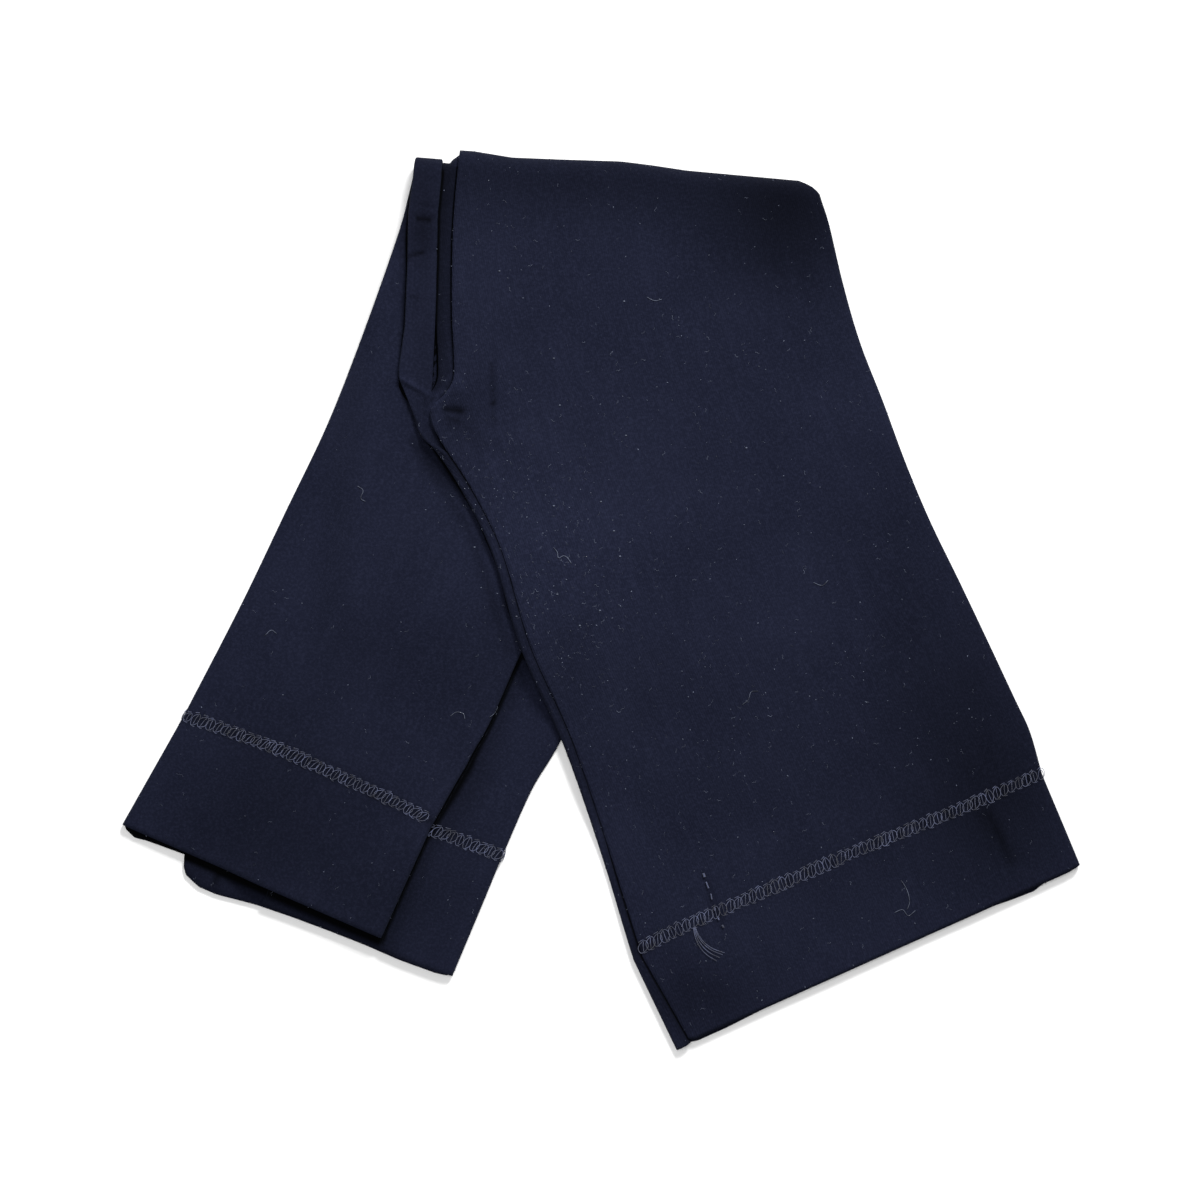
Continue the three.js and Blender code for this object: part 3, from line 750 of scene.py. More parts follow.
def bumped(tree, height, strength, depth):
    made = node(tree, "ShaderNodeBump", Strength=strength, Distance=depth)
    tree.links.new(height, made.inputs["Height"])
    return made


def jersey():
    """Washed cotton jersey: fine vertical ribs of knitting, a worn nap and faint mottling, with painted light
    and shade multiplied into its colour.
    """
    material, tree, shader = new_material("navy_jersey", roughness=0.92, sheen=0.02)
    shader.inputs["Specular IOR Level"].default_value = 0.03
    shader.inputs["Sheen Roughness"].default_value = 0.6
    shader.inputs["Sheen Tint"].default_value = (0.55, 0.65, 1.0, 1.0)
    link = tree.links.new
    place = tree.nodes.new("ShaderNodeTexCoord").outputs["Object"]
    uv = tree.nodes.new("ShaderNodeUVMap")
    uv.uv_map = "cloth"
    ribs = node(tree, "ShaderNodeTexWave", Scale=RIB_SCALE, Distortion=1.2, Detail=2.0, Detail_Scale=1.5)
    ribs.bands_direction = "X"
    link(uv.outputs["UV"], ribs.inputs["Vector"])
    drawn_out = node(tree, "ShaderNodeMapping", Scale=(1.0, 0.12, 1.0))
    link(uv.outputs["UV"], drawn_out.inputs["Vector"])
    blotch = noise(tree, place, scale=28.0, detail=4.0, roughness=0.6)
    fuzz = noise(tree, place, scale=1300.0, detail=3.0, roughness=0.75)
    streak = noise(tree, drawn_out.outputs["Vector"], scale=320.0, detail=2.0, roughness=0.6)

    dye = blend(tree, spread(tree, blotch, low=0.3, high=0.65), NAVY)
    dye.inputs["A"].default_value = (*NAVY_DARK, 1)
    fibre = spread(tree, fuzz, low=0.44, high=0.78, most=0.26)
    rub = spread(tree, streak, low=0.5, high=0.8, most=0.05)
    worn = sum_or_product(tree, "ADD", fibre, rub)
    nap = blend(tree, worn, NAP)
    link(dye.outputs["Result"], nap.inputs["A"])

    # Painted light and shade: the tone attribute scales the colour, and the gap attribute paints a contact
    # shadow beside layer edges
    shaded = attribute(tree, "tone")
    gap = attribute(tree, "gap")
    for start, end, least in CONTACT_DARK, CONTACT_SHADE:
        near = spread(tree, gap, start, end, least=least, kind="SMOOTHSTEP")
        shaded = sum_or_product(tree, "MULTIPLY", shaded, near)
    darker = tree.nodes.new("ShaderNodeVectorMath")
    darker.operation = "SCALE"
    link(nap.outputs["Result"], darker.inputs[0])
    link(shaded, darker.inputs["Scale"])
    link(darker.outputs[0], shader.inputs["Base Color"])

    knit = bumped(tree, ribs.outputs["Fac"], strength=0.5, depth=0.12 * MM)
    rough = bumped(tree, fuzz, strength=0.6, depth=0.2 * MM)
    link(knit.outputs["Normal"], rough.inputs["Normal"])
    link(rough.outputs["Normal"], shader.inputs["Normal"])
    return material


DARK_SHARE, LIGHT_SHARE = 0.35, 1.9  # of a thread's colour, at its darkest and lightest


def plain(name, colour, roughness, sheen):
    """One colour with light and dark in it, for thread and lint."""
    material, tree, shader = new_material(name, roughness, sheen)
    place = tree.nodes.new("ShaderNodeTexCoord").outputs["Object"]
    share = spread(tree, noise(tree, place, scale=400.0, detail=3.0), low=0.35, high=0.68)
    shades = blend(tree, share, [LIGHT_SHARE * c for c in colour])
    shades.inputs["A"].default_value = (*[DARK_SHARE * c for c in colour], 1)
    tree.links.new(shades.outputs["Result"], shader.inputs["Base Color"])
    return material


# Painted light and shade, in plan millimetres
PAINTED_LIGHT_AND_SHADE = [  # place, reach along x and y, share of painted light, less than 0 for painted shade
    ((0, 122), (95, 14), -0.38),
    ((54, 106), (24, 22), -0.6),
    ((103, -29), (26, 34), -0.42),
    ((118, -64), (26, 24), -0.42),
    ((86, 23), (14, 30), -0.15),
    ((29, -114), (24, 14), -0.25),
    ((-8, 12), (26, 26), 0.25),
    ((-97, -66), (34, 24), -0.32),
    ((-40, 52), (5, 5), -0.15),
    ((-47, 56), (5, 5), -0.1),
    ((-50.5, 105), (5, 8), -0.3),
    ((-50, 85), (4, 40), -0.24),
    ((-60, -90), (20, 16), -0.2),
    ((-31, 0), (5, 9), -0.15),
    ((-25, 20), (12, 30), 0.1),
    ((55, -60), (50, 26), -0.06),
    ((-42, 62.5), (3, 1.6), 0.3),
    ((-40, -50), (6, 30), -0.08),
    ((74, -86), (30, 20), -0.12),
    ((51, -46), (30, 20), -0.07),
    ((-86, -32), (30, 26), -0.1),
    ((29, -114), (16, 10), -0.1),
    ((-43, -86), (12, 16), -0.1),
]
PAINTED_LIGHT_AND_SHADE_LINES = [  # from, to, half width, share of painted light, less than 0 for painted shade
    ((-57.1, 63), (-48.4, 58.4), 0.8, 0.45),
    ((-48.6, 54.4), (-43.7, 59.3), 0.8, 0.4),
    ((-46.6, 58.6), (-45.8, 50.5), 0.8, 0.2),
    ((-43.8, 54.4), (-39.2, 53.8), 0.9, -0.65),
    ((-43.4, 51.6), (-40.2, 51.0), 0.7, -0.3),
    ((-47.5, 57.5), (-49.6, 53), 0.8, -0.2),
    ((-40, 51), (-34, 44), 3.0, -0.12),
    ((-30.6, 67), (-30.2, 56), 0.9, -0.45),
    ((-30.4, 56), (-30.0, 50), 1.0, -0.3),
    ((-28.6, 68), (-28.2, 52), 0.9, 0.18),
    ((-53, 45), (-37, 20), 1.8, -0.3),
    ((-36, 17), (-26, -14), 1.8, -0.3),
    ((-56.4, 58.5), (-52.1, 49.9), 0.7, -0.5),
    ((-51.9, 108.6), (-48.4, 108.2), 0.7, -0.4),
    ((-54.6, 97.9), (-50.6, 98.9), 0.7, -0.4),
    ((-53.6, 86.4), (-52, 86.2), 0.7, -0.3),
    ((110.3, -61.3), (118.0, -74), 2.0, -0.24),
    (RIGHT_HEM["inner"], RIGHT_HEM["outer"], 0.6, -0.5),
    ((30, -79), (35.2, -93), 1.0, -0.3),
    ((-109, -78), (-110.6, -82.8), 0.8, -0.5),
]
NO_PAINTED_SHADOW = [  # where the painted contact shadow is held off, on the cloth bunched where the seams meet: place, reach along x and y, clearance
    ((-49, 54), (1.7, 4), 12),
    ((-53.8, 54), (2.2, 6), 9),
    ((-51.7, 48.8), (1.8, 2.4), 8),
]
LINTY = [  # place, reach along x and y, how much more lint
    ((-11, 6), (15, 32), 5),
    ((20, -30), (45, 50), 0.9),
    ((-30, 38), (13, 12), 6),
    ((-30, 24), (8, 8), 4),
    ((30, -95), (30, 14), 0.9),
    ((-42, 62.5), (3.5, 2.2), 9),
    ((-66, -10), (26, 40), -0.4),
    ((-80, 40), (30, 40), -0.3),
]


LEAST_TONE, MOST_TONE = 0.15, 1.7
FACING_DOWN, NEAR_FLOOR = -0.3, 2.2  # below this normal and this height, cloth holds no lint
NO_COVER = 9.0  # the gap where nothing lies near, well past where a contact shade ends


def patches(x, y, table):
    """Adds up soft round patches."""
    return sum(v * np.exp(-(((x - c[0]) / r[0]) ** 2) - ((y - c[1]) / r[1]) ** 2) for c, r, v in table)


def strokes(x, y, table):
    """Adds up soft lines."""
    total = np.zeros(x.shape)
    for a, b, half, value in table:
        d = np.subtract(b, a)
        t = np.clip(((x - a[0]) * d[0] + (y - a[1]) * d[1]) / (d @ d), 0, 1)
        total += value * bell(np.hypot(x - a[0] - t * d[0], y - a[1] - t * d[1]), 0, half)
    return total


def outside(x, y, outline):
    """How far plan points lie outside an outline, and less than nothing within it."""
    near, crossings = np.full(x.shape, 1e9), np.zeros(x.shape, int)
    for (ax, ay), (bx, by) in zip(outline, np.roll(outline, -1, axis=0)):
        dx, dy = bx - ax, by - ay
        t = np.clip(((x - ax) * dx + (y - ay) * dy) / max(dx * dx + dy * dy, 1e-9), 0, 1)
        near = np.minimum(near, np.hypot(x - ax - t * dx, y - ay - t * dy))
        if ay != by:
            crossings += ((ay > y) != (by > y)) & (x < ax + (y - ay) * dx / dy)
    return np.where(crossings % 2, -near, near)


def outline_of(points, columns):
    """The plan outline of some columns of a cloth's grid, from its hem to the fold at the hip."""
    part = points[: HEM_COUNT + LEG_COUNT + 1, columns, :2]
    over = part[len(part) // 2, -1] - part[len(part) // 2, 0]
    reach = part @ unit(over)
    rows = np.arange(len(part))
    return np.concatenate([part[rows, reach.argmin(axis=1)], part[rows, reach.argmax(axis=1)][::-1]])


def toned(obj, covers=(), dim=None):
    """Marks a cloth's points with their tone of painted light and shade, the lint they hold and their gap to
    what covers them, which sets a painted contact shadow.
    """
    count = len(obj.data.vertices)
    co, normal = np.empty(count * 3), np.empty(count * 3)
    obj.data.vertices.foreach_get("co", co)
    obj.data.vertices.foreach_get("normal", normal)
    x, y, z = co.reshape(-1, 3).T / MM
    tone = np.clip(1 + patches(x, y, PAINTED_LIGHT_AND_SHADE) + strokes(x, y, PAINTED_LIGHT_AND_SHADE_LINES), LEAST_TONE, MOST_TONE)
    if dim is not None:
        tone *= dim(x, y)
    open_to_air = (normal[2::3] > FACING_DOWN) | (z > NEAR_FLOOR)
    lint = (1 + patches(x, y, LINTY)) * np.where(open_to_air, 1.0, 0.0)
    gap = np.full(count, NO_COVER)
    for outline, chosen, width, beyond in covers:
        picked = np.ones(count, bool) if chosen is None else chosen
        beside = (outside(x, y, outline) - beyond) / width(x, y)
        gap[picked] = np.minimum(gap, beside)[picked]
    gap += patches(x, y, NO_PAINTED_SHADOW)
    for name, values in (("tone", tone), ("lint", lint), ("gap", gap)):
        obj.data.attributes.new(name, "FLOAT", "POINT").data.foreach_set("value", values)


JERSEY = jersey()
THREAD_BLUE = plain("thread_blue", (0.042, 0.051, 0.100), roughness=0.8, sheen=0.2)
LINT = plain("lint", (0.088, 0.102, 0.145), roughness=0.9, sheen=0.0)

right, left = right_leg(), left_leg()
pleat, body, band, rise = left_pleat(), left_body(), waistband(), left_rise()
for piece, nodes in (
    (right.object, ("right_leg", "right_hem")),
    (left.object, ("left_leg", "left_hem")),
    (pleat, ("left_pleat",)),
    (body, ("left_body",)),
    (band, ("waistband",)),
    (rise, ("left_rise",)),
):
    piece.data.materials.append(JERSEY)
    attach(piece, "root")
    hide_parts(*nodes)


def both_sides(grid, columns):
    """Which points of a cloth belong to some columns of its grid, on both of its sides."""
    chosen = np.zeros(grid.shape[:2], bool)
    chosen[:, columns] = True
    return np.tile(chosen.ravel(), 2)


rise_outline = np.array([(a, y) for y, a, b, _ in RISE_ROWS] + [(b, y) for y, a, b, _ in RISE_ROWS[::-1]])
right_top = outline_of(right.middle, slice(0, RIGHT_TOP_COUNT))
right_all = outline_of(right.middle, slice(0, None))
left_top = outline_of(left.middle, slice(LEFT_LOWER_COUNT, None))


# How wide the painted contact shadow is where one layer stops on another, by plan place
def seam_shadow_width(x, y):
    """Painted shadow along the right panel's own edge: soft above the crotch, a fine line at the inseam,
    firmer at the hem.
    """
    above = 0.7 * bell(y, 103.5, 5.5) - 0.14 * smooth((y - 60) / 4)
    return 0.3 + above + 0.45 * bell(y, 40, 9) + 0.5 * smooth((-66 - y) / 16)


def left_shadow_width(x, y):
    """Painted shadow by the left leg's upper layer: wider under the left hem, and where its upper layer
    stands off the lower one.
    """
    hem = np.stack([x, y], axis=1)
    under_hem = smooth((0.5 - inside(hem, LEFT_HEM["inner"], LEFT_HEM["outer"])) / 1.0)
    return 1.6 + 1.3 * under_hem + 1.7 * bell(y, -53, 11)


def right_shadow_width(x, y):
    """Painted shadow of the right leg on the left one: wide below the crotch, here and there a line further
    down.
    """
    return 0.3 + 1.5 * bell(y, 36, 8) + 0.6 * bell(y, 16, 5) + 0.5 * bell(y, -2, 3.5)


def rise_shadow_width(x, y):
    """Painted shadow along the strip's left edge: wider where its two marks lift it, closed towards the
    crotch.
    """
    return 0.14 + 0.4 * smooth((y - 68) / 8) + 0.6 * bell(y, 102, 5)


def valley_shadow_width(x, y):
    """Painted shadow along the strip's right edge, a dark line down to the crotch."""
    return 0.2 + 0.8 * smooth((y - 57.5) / 4)


right_lower = both_sides(right.middle, slice(RIGHT_TOP_COUNT, None))
left_lower = both_sides(left.middle, slice(0, LEFT_LOWER_COUNT))


def lower_shade(x, y):
    """The right leg's lower layer lies in shade, more so between the panel and the strip."""
    valley = smooth((y - 58) / 5) * smooth((-41.5 - x) / 1.2) * smooth((x + 54) / 3)
    inseam = smooth((52 - y) / 5) * smooth((y + 70) / 20)
    return np.where(right_lower, 1 - 0.4 * valley - 0.2 * inseam, 1)


# What covers each cloth and casts a painted contact shadow on it: an outline, the points that it covers, the
# painted shadow line's width, and how far the edge turns
toned(right.object, [
    (right_top, right_lower, seam_shadow_width, 0),
    (rise_outline, right_lower, valley_shadow_width, 0),
], lower_shade)
toned(left.object, [
    (left_top, left_lower, left_shadow_width, 0.55),
    (right_all, None, right_shadow_width, 0.3),
    (rise_outline, None, rise_shadow_width, 0),
])
toned(rise, [(right_top, None, seam_shadow_width, 0)])
for piece in (pleat, body, band):
    toned(piece)


# Sewing and lint
def tube(path, radius, sides=4):
    """Points and faces of a thread along a path."""
    path = np.array(path, float)
    tangent = np.gradient(path, axis=0)
    tangent /= np.linalg.norm(tangent, axis=1, keepdims=True)
    side = np.cross(tangent, [0.01, 0.02, 1.0])
    side /= np.linalg.norm(side, axis=1, keepdims=True)
    up = np.cross(side, tangent)
    angle = math.tau * np.arange(sides) / sides
    spoke = np.cos(angle)[None, :, None] * side[:, None] + np.sin(angle)[None, :, None] * up[:, None]
    ring = path[:, None] + radius * spoke
    faces = [list(range(sides))[::-1], [(len(path) - 1) * sides + j for j in range(sides)]]
    for i in range(len(path) - 1):
        for j in range(sides):
            m = (j + 1) % sides
            faces.append([i * sides + j, i * sides + m, (i + 1) * sides + m, (i + 1) * sides + j])
    return ring.reshape(-1, 3), faces


def joined(parts):
    vertices, faces, start = [], [], 0
    for v, f in parts:
        vertices.append(v)
        faces += [[i + start for i in face] for face in f]
        start += len(v)
    return np.vstack(vertices), faces


def eased(points, count):
    """A smooth path through a few points."""
    points = np.array(points, float)
    line = Edge(*points[:, :2])
    share = np.linspace(0, 1, count)
    height = np.interp(share, np.linspace(0, 1, len(points)), points[:, 2])
    return np.column_stack([np.array([line(f) for f in share]), height])


def stitch_unit():
    """One stitch of the cover seam: a ring that laps the next, a bar across and short edge stitches."""
    w, r = STITCH_WIDTH / 2, THREAD / 2
    angle = np.linspace(0, math.tau, 25)
    across = w * np.sin(angle)
    ring = np.column_stack([
        1.32 * np.cos(angle) + 0.28 * across,
        across - 0.12 * np.cos(3 * angle),
        0.26 + 0.12 * np.cos(2 * angle + 0.8),
    ])
    bar = [(-0.35, -w + 0.25, 0.05), (-0.1, -0.5, 0.3), (0.1, 0.4, 0.36), (0.5, w - 0.25, 0.1)]
    upper = [(-0.75, w + 0.1, 0.02), (-0.1, w + 0.3, 0.22), (0.7, w + 0.42, 0.02)]
    lower = [(-0.5, -w - 0.1, 0.02), (0.0, -w - 0.22, 0.18), (0.5, -w - 0.1, 0.02)]
    edges = [tube(eased(upper, 5), r), tube(eased(lower, 5), r * 0.8)]
    return joined([tube(ring, r), tube(eased(bar, 8), r * 0.9), *edges])


def new_tree(name, **sockets):
    """A tree with geometry in and out, and its other inputs with their kinds."""
    tree = bpy.data.node_groups.new(name, "GeometryNodeTree")
    new_socket = tree.interface.new_socket
    new_socket("Geometry", in_out="INPUT", socket_type="NodeSocketGeometry")
    names = {n: new_socket(n, in_out="INPUT", socket_type="NodeSocket" + kind) for n, kind in sockets.items()}
    new_socket("Geometry", in_out="OUTPUT", socket_type="NodeSocketGeometry")
    return tree, {n: socket.identifier for n, socket in names.items()}


def new_nodes(tree, *kinds):
    return [tree.nodes.new(kind) for kind in kinds]


def named_value(tree, name, kind):
    value = tree.nodes.new("GeometryNodeInputNamedAttribute")
    value.data_type = kind
    value.inputs["Name"].default_value = name
    return value.outputs["Attribute"]


def random_vector(tree, low, high, seed):
    value = tree.nodes.new("FunctionNodeRandomValue")
    value.data_type = "FLOAT_VECTOR"
    value.inputs[0].default_value, value.inputs[1].default_value = low, high
    value.inputs["Seed"].default_value = seed
    return value.outputs[0]


def turned_by(tree, rotation, by):
    turned = tree.nodes.new("FunctionNodeRotateRotation")
    turned.rotation_space = "LOCAL"
    tree.links.new(rotation, turned.inputs["Rotation"])
    tree.links.new(by, turned.inputs["Rotate By"])
    return turned.outputs["Rotation"]


def placed(tree, start, points, thing, rotation, scale):
    """Puts a thing on each point, makes it real, paints it and sends it out of the tree."""
    link = tree.links.new
    info, place, real, paint, end = new_nodes(
        tree, "GeometryNodeObjectInfo", "GeometryNodeInstanceOnPoints", "GeometryNodeRealizeInstances",
        "GeometryNodeSetMaterial", "NodeGroupOutput")
    link(start.outputs[thing], info.inputs["Object"])
    link(points, place.inputs["Points"])
    link(info.outputs["Geometry"], place.inputs["Instance"])
    link(rotation, place.inputs["Rotation"])
    link(scale, place.inputs["Scale"])
    link(place.outputs["Instances"], real.inputs["Geometry"])
    link(real.outputs["Geometry"], paint.inputs["Geometry"])
    link(start.outputs["Material"], paint.inputs["Material"])
    link(paint.outputs["Geometry"], end.inputs["Geometry"])


def stitch_tree():
    """Puts a stitch on each point, turned to the point's own directions, with a little unevenness."""
    tree, names = new_tree("stitches", Unevenness="Float", Stitch="Object", Material="Material")
    link = tree.links.new
    start, axes, scaled = new_nodes(
        tree, "NodeGroupInput", "FunctionNodeAxesToRotation", "ShaderNodeVectorMath")
    axes.primary_axis, axes.secondary_axis = "Z", "X"
    link(named_value(tree, "up", "FLOAT_VECTOR"), axes.inputs["Primary Axis"])
    link(named_value(tree, "ahead", "FLOAT_VECTOR"), axes.inputs["Secondary Axis"])
    scaled.operation = "SCALE"
    link(random_vector(tree, (-0.4, -0.4, -1), (0.4, 0.4, 1), seed=7), scaled.inputs[0])
    link(start.outputs["Unevenness"], scaled.inputs["Scale"])
    rotation = turned_by(tree, axes.outputs["Rotation"], scaled.outputs[0])
    size = random_vector(tree, (0.78, 0.84, 0.7), (1.14, 1.1, 1.2), seed=12)
    placed(tree, start, start.outputs["Geometry"], "Stitch", rotation, size)
    return tree, names


def lint_tree():
    """Scatters a fibre over a cloth, thicker where the cloth's lint value is higher."""
    tree, names = new_tree(
        "lint", Density="Float", Seed="Int", Smallest="Float", Largest="Float", Fibre="Object",
        Material="Material")
    link = tree.links.new
    start, scatter, many, size = new_nodes(
        tree, "NodeGroupInput", "GeometryNodeDistributePointsOnFaces", "ShaderNodeMath",
        "FunctionNodeRandomValue")
    many.operation = "MULTIPLY"
    link(named_value(tree, "lint", "FLOAT"), many.inputs[0])
    link(start.outputs["Density"], many.inputs[1])
    link(start.outputs["Geometry"], scatter.inputs["Mesh"])
    link(many.outputs["Value"], scatter.inputs["Density"])
    link(start.outputs["Seed"], scatter.inputs["Seed"])
    spin = random_vector(tree, (-0.12, -0.12, 0), (0.12, 0.12, math.tau), seed=3)
    size.data_type = "FLOAT"
    size.inputs["Seed"].default_value = 5
    link(start.outputs["Smallest"], size.inputs[2])
    link(start.outputs["Largest"], size.inputs[3])
    rotation = turned_by(tree, scatter.outputs["Rotation"], spin)
    placed(tree, start, scatter.outputs["Points"], "Fibre", rotation, size.outputs[1])
    return tree, names


def made_by(source, tree, names, name, material, **values):
    """Adds the plain mesh that a tree makes from an object, and removes the object."""
    modifier = source.modifiers.new(name, "NODES")
    modifier.node_group = tree
    for key, value in {"Material": material, **values}.items():
        modifier[names[key]] = value
    bpy.context.view_layer.update()
    mesh = bpy.data.meshes.new_from_object(source.evaluated_get(bpy.context.evaluated_depsgraph_get()))
    mesh.name = name
    bpy.data.objects.remove(source)
    if not mesh.materials:
        mesh.materials.append(material)
    obj = into_scene(name, mesh)
    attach(obj, "root")


STITCHES, LINT_MAKER = stitch_tree(), lint_tree()


def paint_stitch_shade(cloth, line):
    """Paints shade on a cloth a little around its stitches."""
    values = cloth.object.data.attributes["tone"].data
    tone = np.empty(len(values))
    values.foreach_get("value", tone)
    points = cloth.sides.reshape(-1, 3)
    near = np.full(len(points), 1e9)
    for spot in line[::3]:
        near = np.minimum(near, ((points - spot) ** 2).sum(axis=1))
    values.foreach_set("value", tone * (1 - STITCH_SHADE_DEPTH * np.exp(-near / STITCH_SHADE_REACH**2)))


def sewn(name, cloth, row, columns, band):
    """Stitches in a band around a leg. The band is a table of its height over the hem line, by column."""
    per_row = np.linalg.norm(cloth.middle[row + 1, columns] - cloth.middle[row, columns], axis=1)
    line, up = cloth.line(row + np.interp(columns, *band) / per_row, columns, STITCH_LIFT)
    paint_stitch_shade(cloth, line)
    line -= up * np.where(up[:, 2] < FACING_DOWN, PRESSED_IN, 0)[:, None]
    at = distances(line)
    spots = np.arange(0.5 * STITCH_PITCH, at[-1] - 0.4 * STITCH_PITCH, STITCH_PITCH)
    points, upward, ahead = ([np.interp(spots, at, v[:, k]) for k in range(3)]
                             for v in (line, up, np.gradient(line, axis=0)))
    spots_object = mesh_object(name + "_spots", np.array(points).T, [])
    for direction, values in (("up", upward), ("ahead", ahead)):
        layer = spots_object.data.attributes.new(direction, "FLOAT_VECTOR", "POINT")
        layer.data.foreach_set("vector", np.array(values).T.ravel())
    made_by(spots_object, *STITCHES, name, THREAD_BLUE, Unevenness=0.2, Stitch=stitch)


stitch = mesh_object("one_stitch", *stitch_unit())
right_columns = np.arange(0, 2 * ACROSS_COUNT + TURN_COUNT + 1)
right_band = (  # columns of the right leg's grid, and the band's height there
    [0, 12, 25, 40, 54, RIGHT_TOP_COUNT, 90, 120],
    [2.4, 3.0, 2.6, 2.1, 0.6, 0.3, 1.6, 2.2],
)
sewn("right_hem_stitches", right, HEM_COUNT, right_columns, right_band)
left_fold = LOWER_COUNT + 2 * (TURN_COUNT - 1) + ACROSS_COUNT
left_end = left_fold + UPPER_COUNT
left_columns = np.arange(8, left_end + 1)
upper_columns = [left_fold + k for k in (0, 12, 40, 78, UPPER_COUNT - 6, UPPER_COUNT)]
left_band = (
    [0, 12, 26, 39, 70, *upper_columns],
    [-1.2, -1.4, -0.6, 0.2, 1.5, 0.4, 1.2, 2.6, 2.5, 1.8, 1.5],
)
sewn("left_hem_stitches", left, HEM_COUNT, left_columns, left_band)

# Loose threads at the right hem and long fibres, through places on the cloth in millimetres
TAIL = [(26.9, -93.6), (28.3, -97.2), (31, -100.2), (34.6, -102)]
KNOTTED = [(29.6, -78.2), (30.6, -81.3), (31.7, -84), (32.2, -86.6), (34, -91.4), (35.4, -93.7)]
KNOTS = [  # first and last step of the knotted thread that shows, and its radius
    (0, 5, 0.32),
    (9, 17, 0.2),
    (22, 29, 0.18),
    (36, 41, 0.2),
    (46, 51, 0.17),
    (56, 60, 0.24),
]
THREAD_RADIUS = 0.1
LONG_FIBRES = [
    [(-13.2, 15.0), (-12.1, 13.6), (-11.8, 11.9), (-10.4, 12.6), (-9.3, 12.1), (-8.1, 10.4)],
    [(-69.2, 32.6), (-67.6, 31.3), (-68.2, 29.0), (-66.9, 28.1)],
    [(-42.8, -33.2), (-41.0, -32.0), (-39.0, -32.5), (-38.6, -34.0)],
    [(-31.6, -33.5), (-30.2, -32.4), (-29.3, -30.6)],
    [(86.2, -80.2), (87.8, -82.8), (88.6, -86.4), (87.9, -88.6)],
    [(84.3, -89.4), (86.6, -88.6), (88.2, -90.3), (90.2, -88.9)],
    [(13.4, 86.2), (15.6, 85.2), (17.6, 85.6)],
    [(61.0, 5.0), (63.6, 4.2), (65.2, 5.6)],
    [(-96.0, -10.2), (-94.0, -8.6), (-92.6, -9.6)],
    [(40.6, -30.0), (42.4, -28.4), (43.2, -26.2), (45.2, -26.0)],
]
BRIGHT_RADIUS = 0.19
BRIGHT_SPECKS = [
    (-28.6, 93.6), (-13.1, 68.7), (6.9, 85), (-11.4, 55.3), (7.4, 46.7), (41.7, 43.3), (-13.1, 26.7),
    (4, 19.6), (5.7, 12.4), (-12.1, 1.6), (0, -3), (-5.7, -7.3), (-23.7, -4.7), (0.3, 27.9), (-35.7, 15),
]
bvh = [BVHTree.FromObject(c, bpy.context.evaluated_depsgraph_get()) for c in (right.object, left.object)]


def drop(x, y):
    """Height of the cloth at a plan place."""
    hits = [t.ray_cast(Vector((x * MM, y * MM, 0.1)), Vector((0, 0, -1)))[0] for t in bvh]
    return max([h.z / MM for h in hits if h] or [0])


def laid(points, count, lift, arch):
    """A thread's path over the cloth, with a few low arches."""
    path = eased([(*q, 0) for q in points], count)
    raised = arch * np.abs(np.sin(np.linspace(0, 3 * math.pi, count)))
    path[:, 2] = np.array([drop(x, y) for x, y in path[:, :2]]) + lift + raised
    return path


threads = []
for k, apart in enumerate((-0.9, -0.25, 0.35, 0.75)):
    path = [(x + apart * (0.3 + 0.35 * i), y + apart * (0.2 + 0.4 * i)) for i, (x, y) in enumerate(TAIL)]
    lift = 0.35 + 0.1 * (k % 2)
    threads.append(tube(laid(path, count=18, lift=lift, arch=0.15), THREAD_RADIUS))
knotted = laid(KNOTTED, count=60, lift=0.5, arch=0.15)
for start, end, radius in KNOTS:
    threads.append(tube(knotted[start:end], radius, sides=6))
loose = mesh_object("loose_threads", *joined(threads))
loose.data.materials.append(THREAD_BLUE)
fluff = [tube(laid(f, count=16, lift=0.16, arch=0.12), THREAD_RADIUS, sides=3) for f in LONG_FIBRES]
for x, y in BRIGHT_SPECKS:
    z = drop(x, y) + 0.1
    path = [(x - 0.22, y, z), (x - 0.05, y + 0.06, z + 0.08), (x + 0.2, y + 0.02, z)]
    fluff.append(tube(path, BRIGHT_RADIUS, sides=6))
fibres = mesh_object("long_fibres", *joined(fluff))
fibres.data.materials.append(LINT)
for piece in (loose, fibres):
    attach(piece, "root")


def scattered(name, cloth, **values):
    made_by(into_scene(name + "_source", cloth.data.copy()), *LINT_MAKER, name, LINT, **values)


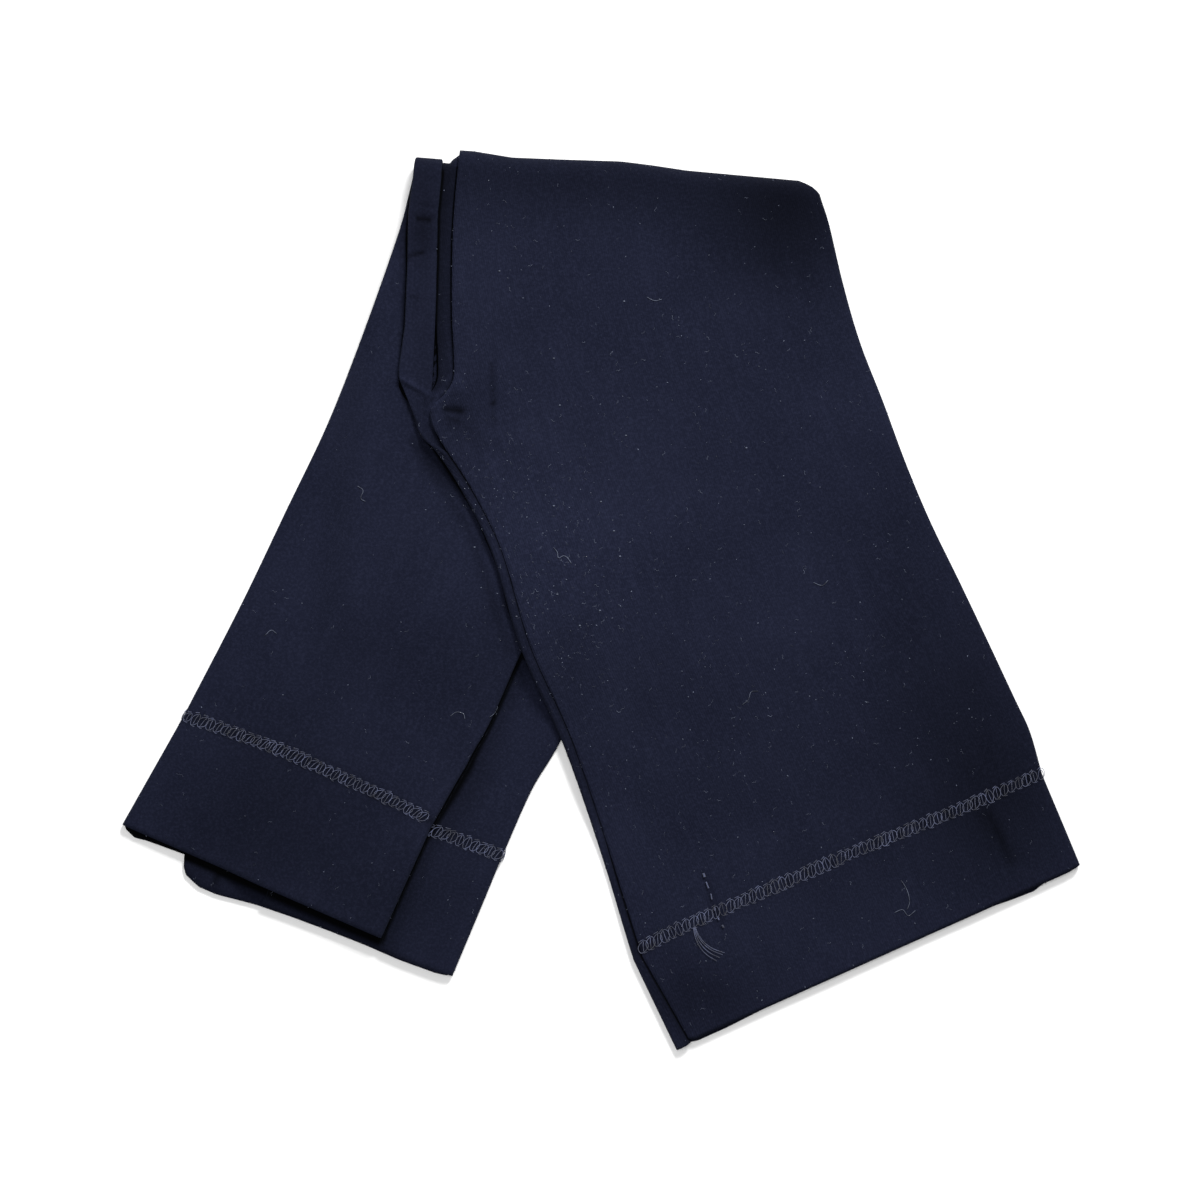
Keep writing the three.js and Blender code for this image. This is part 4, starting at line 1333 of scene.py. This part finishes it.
CURL = [(-0.9, -0.25, 0.03), (-0.4, 0.2, 0.12), (0.15, 0.05, 0.2), (0.5, -0.3, 0.1), (0.9, 0.05, 0.02)]
SPECK = [(-0.16, 0, 0.05), (0, 0.03, 0.09), (0.16, -0.02, 0.05)]
curl = mesh_object("curl", *tube(eased(CURL, 7), radius=0.05, sides=3))
speck = mesh_object("speck", *tube(SPECK, radius=0.09))
LINT_ON = [  # cloth, its pieces' name, curls and specks for each square metre
    (right.object, "right", 16000.0, 12000.0),
    (left.object, "left", 8000.0, 6000.0),
]
for cloth, side, curls, specks in LINT_ON:
    scattered(side + "_curled_lint", cloth, Density=curls, Seed=11, Smallest=0.2, Largest=0.8, Fibre=curl)
    scattered(side + "_lint_specks", cloth, Density=specks, Seed=23, Smallest=0.4, Largest=1.2, Fibre=speck)
for tool in (stitch, curl, speck):
    bpy.data.objects.remove(tool)

# Camera straight above, floor and soft light
VIEW_WIDTH, EYE_HEIGHT, MID_HEIGHT = 342.9 * MM, 1.3, 5 * MM
camera = into_scene("camera", bpy.data.cameras.new("camera"))
camera.location = (0, 0, EYE_HEIGHT)
camera.data.sensor_fit = "HORIZONTAL"
camera.data.angle = 2 * math.atan(VIEW_WIDTH / 2 / (EYE_HEIGHT - MID_HEIGHT))
bpy.context.scene.camera = camera

FLOOR_REACH = 3
floor_mesh = bpy.data.meshes.new("floor")
corners = [(x * FLOOR_REACH, y * FLOOR_REACH, 0) for x, y in ((-1, -1), (1, -1), (1, 1), (-1, 1))]
floor_mesh.from_pydata(corners, [], [(0, 1, 2, 3)])
floor = into_scene("floor", floor_mesh)
white, _, paint = new_material("floor_white", roughness=0.9)
paint.inputs["Base Color"].default_value = (0.96, 0.96, 0.96, 1)
floor.data.materials.append(white)


def area_light(name, place, size, power):
    """A square light that looks at the middle of the floor."""
    light = bpy.data.lights.new(name, "AREA")
    light.energy, light.size = power, size
    obj = into_scene(name, light)
    obj.location = place
    obj.rotation_euler = (-Vector(place)).to_track_quat("-Z", "Y").to_euler()


area_light("key", place=(0.3, 0.75, 0.8), size=0.3, power=13)
area_light("lamp", place=(-0.12, 0.05, 1.5), size=0.5, power=10)
world = bpy.data.worlds.new("studio")
world.use_nodes = True
world.node_tree.nodes["Background"].inputs["Color"].default_value = (1, 1, 1, 1)
world.node_tree.nodes["Background"].inputs["Strength"].default_value = 0.34
bpy.context.scene.world = world
bpy.context.scene.view_settings.view_transform = "Standard"
